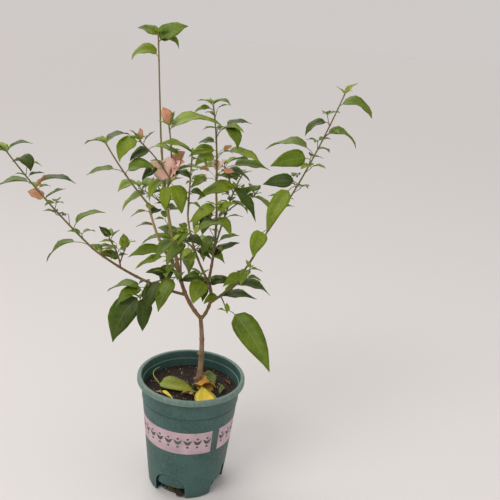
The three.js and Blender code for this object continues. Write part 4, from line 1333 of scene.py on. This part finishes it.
print("Pot:", 2 * RIM_RADIUS, "mm across and", POT_HEIGHT, "mm high")

# %% [markdown]
# A notch is the space of an arch, pushed in from outside as far as a turned core: a panel a few
# millimetres behind the wall, and under it a deeper step with a drain slot. A grown copy of that space,
# kept to the pot's own envelope, becomes the panel's wall, and the plain one is then cut away.

# %% Notches
NOTCH_COUNT = 4
NOTCH_FIRST = 251
NOTCH_WIDTH = 43
NOTCH_HEIGHT = 36
NOTCH_SHOULDER = 20
NOTCH_BELOW = 5
PANEL_DEPTH = 3
PANEL_FOOT_HEIGHT = 15
PANEL_WALL = 1.8
SLOT_RADIUS = 42
SLOT_WIDTH = 32
SLOT_TOP = 13
SLOT_REACH = 3 * PANEL_WALL
ARCH_STEPS = 12


def arch_outline(margin):
    half, top, shoulder = NOTCH_WIDTH / 2 + margin, NOTCH_HEIGHT + margin, NOTCH_SHOULDER + margin
    outline = [(-half, -NOTCH_BELOW), (half, -NOTCH_BELOW)]
    outline += arc((half - shoulder, top - shoulder), shoulder, 0, 90, ARCH_STEPS)
    return outline + arc((shoulder - half, top - shoulder), shoulder, 90, 180, ARCH_STEPS)


def radial_prism(name, outline, low, high, heading):
    """An outline of points across and up, pushed out from the axis between two radii at a heading."""
    count = len(outline)
    points = [(depth, across, height) for depth in (low, high) for across, height in outline]
    faces = [tuple(range(count - 1, -1, -1)), tuple(range(count, 2 * count))]
    for corner in range(count):
        beside = (corner + 1) % count
        faces.append((corner, beside, count + beside, count + corner))
    made = mesh_object(name, points, (), faces)
    made.data.transform(Matrix.Rotation(math.radians(heading), 4, "Z"))
    return made


def notch_space(heading, margin):
    """The arch outside the panel and the drain slot's step, as a closed mesh."""
    space = radial_prism("notch", arch_outline(margin), SLOT_RADIUS / 2, RIM_RADIUS, heading)
    below, foot, above = -NOTCH_BELOW - 1, PANEL_FOOT_HEIGHT + margin, 1.5 * NOTCH_HEIGHT
    core = [(0, below), (SLOT_RADIUS - margin, below), (SLOT_RADIUS - margin, foot)]
    core += [(outer_radius(height) - PANEL_DEPTH - margin, height) for height in (foot, above)]
    cut_with(space, turned("core", core + [(0, above)]), "DIFFERENCE")
    return space


print(NOTCH_COUNT, "notches,", NOTCH_WIDTH, "mm wide")

# %% [markdown]
# ## Plastic
# The pot is dull sea-green plastic that has stood outdoors: cloudy, a little scuffed and pale on its lip.
# The cloudiness and the scuffs are noise at three sizes, and the lip is paler where hands and stacked
# pots have rubbed it, found by its height. Light and shade are painted on as well: a painted highlight
# along the ledge and round each notch's arch, and painted shade under the lip, in the step's groove
# and under each arch.

# %% Pot finish
def painted_shade_rings(tree, height, around):
    """Painted shade: dark lines right under the lip, where its shadow falls, and in the groove of the wall's
    step.
    """
    outside = step_mm(tree, around, STEP_RADIUS - 1.2, STEP_RADIUS - 0.8)
    neck = step_mm(tree, around, NECK_RADIUS - 0.6, NECK_RADIUS - 0.4)
    # Painted shadow under the lip's overhang.
    shadow_under_lip = step_mm(tree, (height - (POT_HEIGHT - RIM_DEPTH - 1.5) * MM).size(), 3.5, 0.8)
    # Painted shade in the groove of the step.
    shade_in_groove = step_mm(tree, (height - STEP_HEIGHT * MM).size(), 0.9, 0.3) * 0.7
    return (shadow_under_lip * neck).math("MAXIMUM", shade_in_groove * outside)


def arch_shadow_and_highlight(tree, x, y, height, around):
    """Painted shadow in the corner under each notch's arch, and a painted highlight on the edge of the wall
    round it.
    """
    quarters = (y.math("ARCTAN2", x) - math.radians(NOTCH_FIRST)) / (math.pi / 2) + 0.5
    turn = (quarters.math("FRACT") - 0.5) * (math.pi / 2)
    across = (turn.math("SINE") * around).size() - (NOTCH_WIDTH / 2 - NOTCH_SHOULDER) * MM
    above = height - (NOTCH_HEIGHT - NOTCH_SHOULDER) * MM
    across, above = across.math("MAXIMUM", 0.0), above.math("MAXIMUM", 0.0)
    outside = ((across * across) + (above * above)).math("SQRT") - NOTCH_SHOULDER * MM
    # Painted shadow just inside the arch's edge.
    corner = step_mm(tree, outside, -4.4, -1.0) * step_mm(tree, outside, 0.2, -0.1)
    # Painted highlight just outside the arch's edge.
    arch_highlight = step_mm(tree, outside, 0.0, 0.3) * step_mm(tree, outside, 1.6, 0.7)
    return corner, arch_highlight


def plastic_finish():
    made, tree, shader = material("weathered_green_plastic", linear(52, 84, 78), 0.5)
    place = node(tree, "ShaderNodeTexCoord").outputs["Object"]
    x, y, height = split(tree, place)
    cloud = noise(tree, 0.022, 4)
    grain = noise(tree, 0.35, 5, (1, 1, 0.6), 0.7)
    scuff = noise(tree, 0.9, 2, (1, 1, 0.35))
    body = blend(tree, step_between(tree, cloud, 0.35, 0.68), linear(40, 76, 71), linear(60, 96, 91))
    body = blend(tree, step_between(tree, grain, 0.42, 0.7) * 0.5, body, linear(84, 112, 104))
    body = blend(tree, step_between(tree, scuff, 0.66, 0.74) * 0.5, body, linear(120, 142, 134))
    around = ((x * x) + (y * y)).math("SQRT")
    under, inside = POT_HEIGHT - RIM_DEPTH, RIM_RADIUS - RIM_WIDTH
    lip = step_mm(tree, height, under, under + 1) * step_mm(tree, around, inside - 0.4, inside + 0.8)
    worn = blend(tree, step_between(tree, grain, 0.35, 0.65), linear(96, 124, 114), linear(128, 148, 136))
    body = blend(tree, lip * 0.75, body, worn)
    # Painted highlight: a pale line along the ledge inside the rim, where its top catches the light.
    ledge = step_mm(tree, (height - LEDGE_HEIGHT * MM).size(), 0.7, 0.3)
    ledge = ledge * step_mm(tree, around, LEDGE_RADIUS + 1.6, LEDGE_RADIUS + 1.1)
    body = blend(tree, ledge * 0.6, body, linear(126, 146, 138))
    # Painted shadow under each arch and a painted highlight on the wall's edge round it.
    corner, arch_highlight = arch_shadow_and_highlight(tree, x, y, height, around)
    body = blend(tree, arch_highlight * 0.35, body, linear(104, 132, 124))
    # Painted shade, in a dark green, under the lip, in the step's groove and under each arch.
    painted_shade = corner.math("MAXIMUM", painted_shade_rings(tree, height, around))
    body = blend(tree, painted_shade * 0.8, body, linear(16, 32, 31))
    plug(tree, shader.inputs["Base Color"], body)
    plug(tree, shader.inputs["Roughness"], step_between(tree, cloud, 0.3, 0.7) * 0.16 + 0.42)
    bump(tree, shader, grain * 0.6 + cloud * 1.5, 0.35, 0.35)
    return made


plastic = plastic_finish()
pot = turned("pot_shell", outer_profile() + inner_profile(POT_HEIGHT))
panel_blank = turned("pot_blank", outer_profile() + [(0, POT_HEIGHT)])
half = SLOT_WIDTH / 2
opening = [(-half, FLOOR), (half, FLOOR), (half, SLOT_TOP), (-half, SLOT_TOP)]
for count in range(NOTCH_COUNT):
    heading = NOTCH_FIRST + 360 / NOTCH_COUNT * count
    panel = notch_space(heading, PANEL_WALL)
    cut_with(panel, linked("blank", panel_blank.data.copy()), "INTERSECT")
    cut_with(pot, panel, "UNION")
    cut_with(pot, notch_space(heading, 0), "DIFFERENCE")
    slot = radial_prism("slot", opening, SLOT_RADIUS - SLOT_REACH, SLOT_RADIUS + SLOT_REACH, heading)
    cut_with(pot, slot, "DIFFERENCE")
bpy.data.objects.remove(panel_blank)
pot.data.materials.clear()
pot.data.materials.append(plastic)
pot.data.shade_smooth()
pot.data.set_sharp_from_angle(angle=math.radians(35))
settle(pot, "pot", "pot")

# %% [markdown]
# ## Printed bands
# Three pale pink bands are printed round the pot. On the plastic they are a skin of paint, so each is a
# thin curved sheet a tenth of a millimetre proud of the wall. The ornament on them is a plain row of
# leaves and dots. It is made by Geometry Nodes: one flat motif is copied along the band, and
# the copies are then wrapped round the pot's cone.

# %% Printed bands
BAND_LOW = 75.4
BAND_HIGH = 108.6
BAND_MIDDLE = (BAND_LOW + BAND_HIGH) / 2
BAND_ARC = 110
BAND_GAP = 10
BAND_FIRST = 195.6
BAND_STARTS = [BAND_FIRST + (BAND_ARC + BAND_GAP) * count for count in range(3)]
BAND_PROUD = 0.12
BAND_SUNK = -0.3
BAND_STEPS = 48
MOTIFS = 9
DOT_RADIUS = 1.7 * MM
LEAF_RADIUS = 3.6 * MM


def band_mesh(first):
    """A closed thin sheet round the pot between two headings."""
    points, faces = [], []
    section = [(BAND_SUNK, BAND_LOW), (BAND_PROUD, BAND_LOW), (BAND_PROUD, BAND_HIGH), (BAND_SUNK, BAND_HIGH)]
    for step in range(BAND_STEPS + 1):
        turn = math.radians(first + BAND_ARC * step / BAND_STEPS)
        for proud, height in section:
            radius = outer_radius(height) + proud
            points.append((radius * math.cos(turn), radius * math.sin(turn), height))
    for step in range(BAND_STEPS):
        for corner in range(4):
            beside = (corner + 1) % 4
            low = 4 * step
            faces.append((low + corner, low + 4 + corner, low + 4 + beside, low + beside))
    last = 4 * BAND_STEPS
    faces += [(0, 1, 2, 3), (last + 3, last + 2, last + 1, last)]
    return mesh_object("printed_band", points, (), faces)


def print_finish(name, colour, worn):
    made, tree, shader = material(name, colour, 0.6)
    patches = noise(tree, 0.05, 4)
    specks = noise(tree, 1.4, 3)
    tone = blend(tree, step_between(tree, patches, 0.35, 0.7), colour, worn)
    rubbed = step_between(tree, specks, 0.62, 0.72) * 0.25
    plug(tree, shader.inputs["Base Color"], blend(tree, rubbed, tone, linear(110, 120, 116)))
    plug(tree, shader.inputs["Roughness"], patches * 0.2 + 0.48)
    bump(tree, shader, specks, 0.25, 0.12)
    return made


bands = joined([band_mesh(first) for first in BAND_STARTS], "printed_bands")
bands.data.materials.append(print_finish("pink_print", linear(202, 176, 184), linear(182, 156, 164)))
bands.data.shade_smooth()
bands.data.set_sharp_from_angle(angle=math.radians(35))
settle(bands, "pot")


def motif_tree():
    """Copies a flat motif along a band and wraps the row round the cone."""
    tree, points, size = new_tree("Ornament round the pot", {
        "Foot radius": (FOOT_RADIUS + BAND_PROUD) * MM, "Flare": (STEP_RADIUS - FOOT_RADIUS) / STEP_HEIGHT,
        "Ink": print_finish("dark_print", linear(70, 78, 80), linear(92, 98, 98))})
    dot = node(tree, "GeometryNodeMeshCylinder", Vertices=16, Radius=DOT_RADIUS, Depth=BAND_PROUD * MM)
    disc = node(tree, "GeometryNodeMeshCylinder", Vertices=20, Radius=LEAF_RADIUS, Depth=BAND_PROUD * MM)
    x, y, z = position(tree)
    pointed = moved_to(tree, disc.outputs[0], x * ((y / LEAF_RADIUS) * -0.45 + 0.5), y * 1.35, z)
    shapes = node(tree, "GeometryNodeJoinGeometry")
    for across, up, tilt, shape in (
            (-2.6, 2.2, 0.75, pointed), (2.6, 2.2, -0.75, pointed), (0, -5.4, 0, dot.outputs[0]),
            (0, 7.2, 0, dot.outputs[0])):
        set_down = node(tree, "GeometryNodeTransform", Geometry=shape, Translation=(across * MM, up * MM, 0),
                        Rotation=(0, 0, tilt))
        tree.links.new(set_down.outputs[0], shapes.inputs[0])
    placed = node(tree, "GeometryNodeInstanceOnPoints", Points=points, Instance=shapes.outputs[0])
    real = node(tree, "GeometryNodeRealizeInstances", Geometry=placed.outputs[0])
    x, y, z = position(tree)
    radius = size["Foot radius"] + y * size["Flare"] + z
    turn = x / (outer_radius(BAND_MIDDLE) * MM)
    wrapped = moved_to(tree, real.outputs[0], radius * turn.cos(), radius * turn.sin(), y)
    dressed = node(tree, "GeometryNodeSetMaterial", Geometry=wrapped, Material=size["Ink"])
    close_tree(tree, dressed.outputs[0])
    return tree


motif_points = []
for first in BAND_STARTS:
    for number in range(MOTIFS):
        turn = math.radians(first + BAND_ARC * (number + 0.5) / MOTIFS)
        motif_points.append((turn * outer_radius(BAND_MIDDLE), BAND_MIDDLE, 0))
ornament = grow(mesh_object("motif_points", motif_points), motif_tree(), "ornament")
settle(ornament, "pot")

# %% [markdown]
# ## Potting soil
# Damp potting mix is nearly black, lumpy, and full of crumbs, bark chips and white perlite. The soil is
# turned to fit the pot's inside, with many rings on top, and one tree does the rest: it lifts the loose
# faces by noise and scatters crumbs, chips and perlite on them. The `loose` attribute tells it where.

# %% Soil
SOIL_RINGS = 56
SOIL_SIDES = 160


def soil_finish():
    made, tree, shader = material("damp_soil", linear(44, 34, 29), 0.9)
    lumps = noise(tree, 0.14, 4)
    grains = noise(tree, 1.1, 4)
    tone = blend(tree, step_between(tree, lumps, 0.4, 0.65), linear(24, 19, 17), linear(42, 32, 26))
    fleck = step_between(tree, grains, 0.56, 0.66)
    plug(tree, shader.inputs["Base Color"], blend(tree, fleck * 0.5, tone, linear(74, 56, 42)))
    plug(tree, shader.inputs["Roughness"], lumps * 0.3 + 0.68)
    bump(tree, shader, grains, 0.9, 0.5)
    return made


def plain_finish(name, colour, other, roughness, grain=0.5):
    """Two colours mixed by noise, for crumbs, chips and roots."""
    made, tree, shader = material(name, colour, roughness)
    patches = noise(tree, grain, 3)
    share = step_between(tree, patches, 0.38, 0.62)
    plug(tree, shader.inputs["Base Color"], blend(tree, share, colour, other))
    bump(tree, shader, noise(tree, 3 * grain, 2), 0.5, 0.3)
    return made


def scattered(tree, ground, loose, shape, paint, density, small, large, seed):
    """Copies of a shape, of mixed sizes and turns, on the loose faces of the ground."""
    spots = node(tree, "GeometryNodeDistributePointsOnFaces", Mesh=ground, Selection=loose,
                 Density=density, Seed=seed)
    coloured = node(tree, "GeometryNodeSetMaterial", Geometry=shape, Material=paint)
    kind = {"data_type": "FLOAT_VECTOR"}
    turn = node(tree, "FunctionNodeRandomValue", kind, Max=(2 * math.pi,) * 3, Seed=seed + 1)
    scale = node(tree, "FunctionNodeRandomValue", kind, Min=(small * MM,) * 3, Max=(large * MM,) * 3,
                 Seed=seed + 2)
    placed = node(tree, "GeometryNodeInstanceOnPoints", Points=spots.outputs[0],
                  Instance=coloured.outputs[0], Rotation=turn.outputs[0], Scale=scale.outputs[0])
    return node(tree, "GeometryNodeRealizeInstances", Geometry=placed.outputs[0]).outputs[0]


def soil_tree():
    tree, ground, size = new_tree("Potting soil", {
        "Lump height": 2.6 * MM, "Lumps per metre": 130.0, "Crumbs": 150000.0, "Perlite": 7000.0,
        "Chips": 9000.0, "Soil": soil_finish(),
        "Crumb": plain_finish("soil_crumb", linear(46, 34, 28), linear(84, 62, 44), 0.9),
        "White": plain_finish("perlite", linear(206, 200, 188), linear(176, 168, 152), 0.8),
        "Chip": plain_finish("bark_chip", linear(128, 88, 54), linear(92, 60, 38), 0.8)})
    loose = named(tree, "loose")
    place = vector(tree, *position(tree))
    push = uneven(tree, place, size["Lumps per metre"], 2.0) + uneven(tree, place, 420.0, 3.0) * 0.55
    lumpy = pushed(tree, ground, push * size["Lump height"] * loose)
    dark = node(tree, "GeometryNodeSetMaterial", Geometry=lumpy, Material=size["Soil"]).outputs[0]
    settings = {"data_type": "FLOAT", "operation": "GREATER_THAN"}
    where = node(tree, "FunctionNodeCompare", settings, A=loose, B=0.9).outputs[0]
    ball = node(tree, "GeometryNodeMeshIcoSphere", Radius=1.0, Subdivisions=1).outputs[0]
    chip = node(tree, "GeometryNodeMeshCube", Size=(2.6, 1.3, 0.5)).outputs[0]
    everything = node(tree, "GeometryNodeJoinGeometry")
    for shape, paint, count, small, large, seed in (
            (ball, "Crumb", "Crumbs", 0.35, 1.5, 3), (ball, "White", "Perlite", 0.5, 1.2, 6),
            (chip, "Chip", "Chips", 0.5, 2.0, 9)):
        part = scattered(tree, dark, where, shape, size[paint], size[count], small, large, seed)
        tree.links.new(part, everything.inputs[0])
    tree.links.new(dark, everything.inputs[0])
    close_tree(tree, everything.outputs[0])
    return tree


def soil_blank():
    """The soil inside the pot: its sides on the wall, its top in many rings."""
    top = [(inner_radius(SOIL_TOP) * (1 - ring / SOIL_RINGS), SOIL_TOP) for ring in range(SOIL_RINGS + 1)]
    behind = SLOT_RADIUS - PANEL_WALL - 0.5
    side = [(behind, FLOOR + 0.3), (behind, PANEL_FOOT_HEIGHT + 1), (inner_radius(50) - PANEL_DEPTH - 2, 50)]
    side += [(inner_radius(height) - 0.2, height) for height in (58, 100, SOIL_TOP - 4)]
    return turned("soil_blank", [(0, FLOOR + 0.3)] + side + top, SOIL_SIDES)


def mark_loose(piece, low, reach):
    """Marks the points above a height and within a radius as loose soil."""
    places = np.zeros(3 * len(piece.data.vertices))
    piece.data.vertices.foreach_get("co", places)
    places = places.reshape(-1, 3) / MM
    near = np.hypot(places[:, 0], places[:, 1]) < reach
    add_attribute(piece, "loose", ((places[:, 2] > low) & near).astype(float))
    return piece


soil_rule = soil_tree()
plain_soil = mark_loose(soil_blank(), SOIL_TOP - 1, inner_radius(SOIL_TOP) - 2.5)
soil = grow(plain_soil, soil_rule, "soil_with_crumbs")
settle(soil, "soil", "soil")

# %% [markdown]
# Fine roots and a clod of soil push out of the drain slot at the front. The roots are thin lines swept
# by the twig tree, and the clod is a small ball that goes through the soil tree.

# %% Roots in the drain slot
ROOT_COUNT = 26
ROOT_START = 40
ROOT_REACH = 5
ROOT_RADII = 0.5, 0.3
CLOD_PLACE = (-2.5, -46.5, 6.0)
CLOD_RADIUS = 4.4

draw = seeded(61)
root_rows = []
for number in range(ROOT_COUNT):
    turn = math.radians(between(draw, NOTCH_FIRST - 18, NOTCH_FIRST + 16))
    start = np.array([ROOT_START * math.cos(turn), ROOT_START * math.sin(turn), between(draw, 3, 9)])
    way = math.radians(NOTCH_FIRST + 70 * (next(draw) - 0.35))
    end = start + np.array([ROOT_REACH * math.cos(way), ROOT_REACH * math.sin(way), -3 * next(draw)])
    bow = (1.5 * next(draw) - 0.7, 1.5 * next(draw) - 0.7, 1.2 * next(draw))
    root_rows.append((Line(start, end, bow, ROOT_RADII), 8, ()))
roots = grow(line_mesh("root_lines", root_rows), round_twigs, "slot_roots", Sides=6,
             Bark=plain_finish("fine_root", linear(140, 104, 66), linear(104, 74, 46), 0.8))
settle(roots, "soil")
clod = new_ball("clod", CLOD_RADIUS, 4)
clod.data.transform(Matrix.Translation(Vector(CLOD_PLACE) * MM))
clod = grow(mark_loose(clod, -10, 100), soil_rule, "slot_clod", Lump_height=2.2 * MM, Perlite=0.0)
settle(clod, "soil")

# %% [markdown]
# ## Fallen leaves
# Old leaves lie on the soil: an olive one with its long curled stalk, a yellow one, a dried curled one
# and a thin grey-green one, with a few scraps. They run through the leaf tree with their own colours,
# and the dried ones with a deep ripple along the edge.

# %% Fallen leaves
def fallen(x, y, above, heading, rise, length, arch, roll, breadth, tint):
    root = np.array([x, y, SOIL_TOP + above])
    return root, leaf(1, heading, rise, length, arch, roll, 1.5, breadth, tint)


old_paint = {
    "Green": blade_finish("fallen_olive", (136, 142, 34), (112, 122, 32), (164, 168, 78), 0.34, 0.15),
    "Bright": blade_finish("fallen_yellow", (232, 212, 80), (216, 190, 62), (236, 220, 120), 0.45, 0.15),
    "Deep": blade_finish("fallen_ochre", (204, 150, 62), (160, 108, 46), (122, 82, 40), 0.6, 0.1, 0.5),
    "Young": blade_finish("fallen_grey_green", (118, 132, 70), (92, 106, 56), (142, 150, 96), 0.6, 0.2),
    "Pink": blade_finish("fallen_chip", (190, 156, 104), (150, 116, 74), (120, 90, 56), 0.7, 0.1, 0.4),
    "Dried": blade_finish("fallen_brown", (126, 86, 60), (92, 60, 42), (80, 54, 38), 0.75, 0.05, 0.4),
    "Stalk": blade_finish("fallen_stalk", (180, 186, 92), (158, 160, 74), (180, 186, 92), 0.5, 0.1, 0),
    "Underside": blade_finish("fallen_underside", (150, 136, 78), (122, 106, 60), (168, 154, 100), 0.7, 0.1),
}
flat_leaves = [
    fallen(-43, -2, 3, 347, 9, 54, 24, 14, 0.88, GREEN),
    fallen(26, -47, 1.5, 104, -2, 42, -22, 0, 1.3, BRIGHT),
    fallen(-36, -18, 2, 314, 10, 26, 24, 24, 0.34, BRIGHT),
]
crumpled_leaves = [
    fallen(34, -2, 4, 182, 36, 35, 80, 14, 1.45, DEEP), fallen(31, -6, 2, 165, 18, 26, 60, -30, 1.3, DEEP),
    fallen(32, 12, 3, 152, 32, 24, 60, -34, 1.5, YOUNG), fallen(9, -28, 3, 176, 32, 21, 70, 30, 1.6, PINK),
    fallen(44, 5, 3, 258, 26, 20, 50, -34, 0.8, YOUNG), fallen(52, 14, 2, 130, 20, 12, 60, 20, 1.1, DRIED),
    fallen(-35, -24, 2, 160, 18, 10, 60, 10, 1.2, PINK), fallen(47, 2, 2, 200, 20, 11, 60, 30, 1.0, DRIED),
]
fallen_nodes = ["fallen_leaf_olive", "fallen_leaf_yellow", "fallen_leaf_ochre", "fallen_leaf_small"]
flat = grow(leaf_cloud("flat_points", flat_leaves, 41), leaves_rule, "fallen_leaves", Edge_wave=0.012,
            Tip_fineness=1.3, Widest=0.324, **old_paint)
settle(flat, "fallen_leaf", *fallen_nodes)
crumpled = grow(leaf_cloud("crumpled_points", crumpled_leaves, 42), leaves_rule, "crumpled_leaves",
                Edge_wave=0.12, Tip_fineness=0.9, Widest=0.41, **old_paint)
settle(crumpled, "fallen_leaf", *fallen_nodes)

# The olive leaf's stalk hooks back from the blade over the soil.
hook = Line((-42.5, -1.5, 143.5), (-47.5, 34, 147), (-8, -3, 3.5), (0.7, 0.4))
curled_stalk = grow(line_mesh("hook_line", [(hook, 30, ())]), round_twigs, "curled_stalk",
                    Bark=old_paint["Stalk"])
settle(curled_stalk, "fallen_leaf", "fallen_leaf_olive")
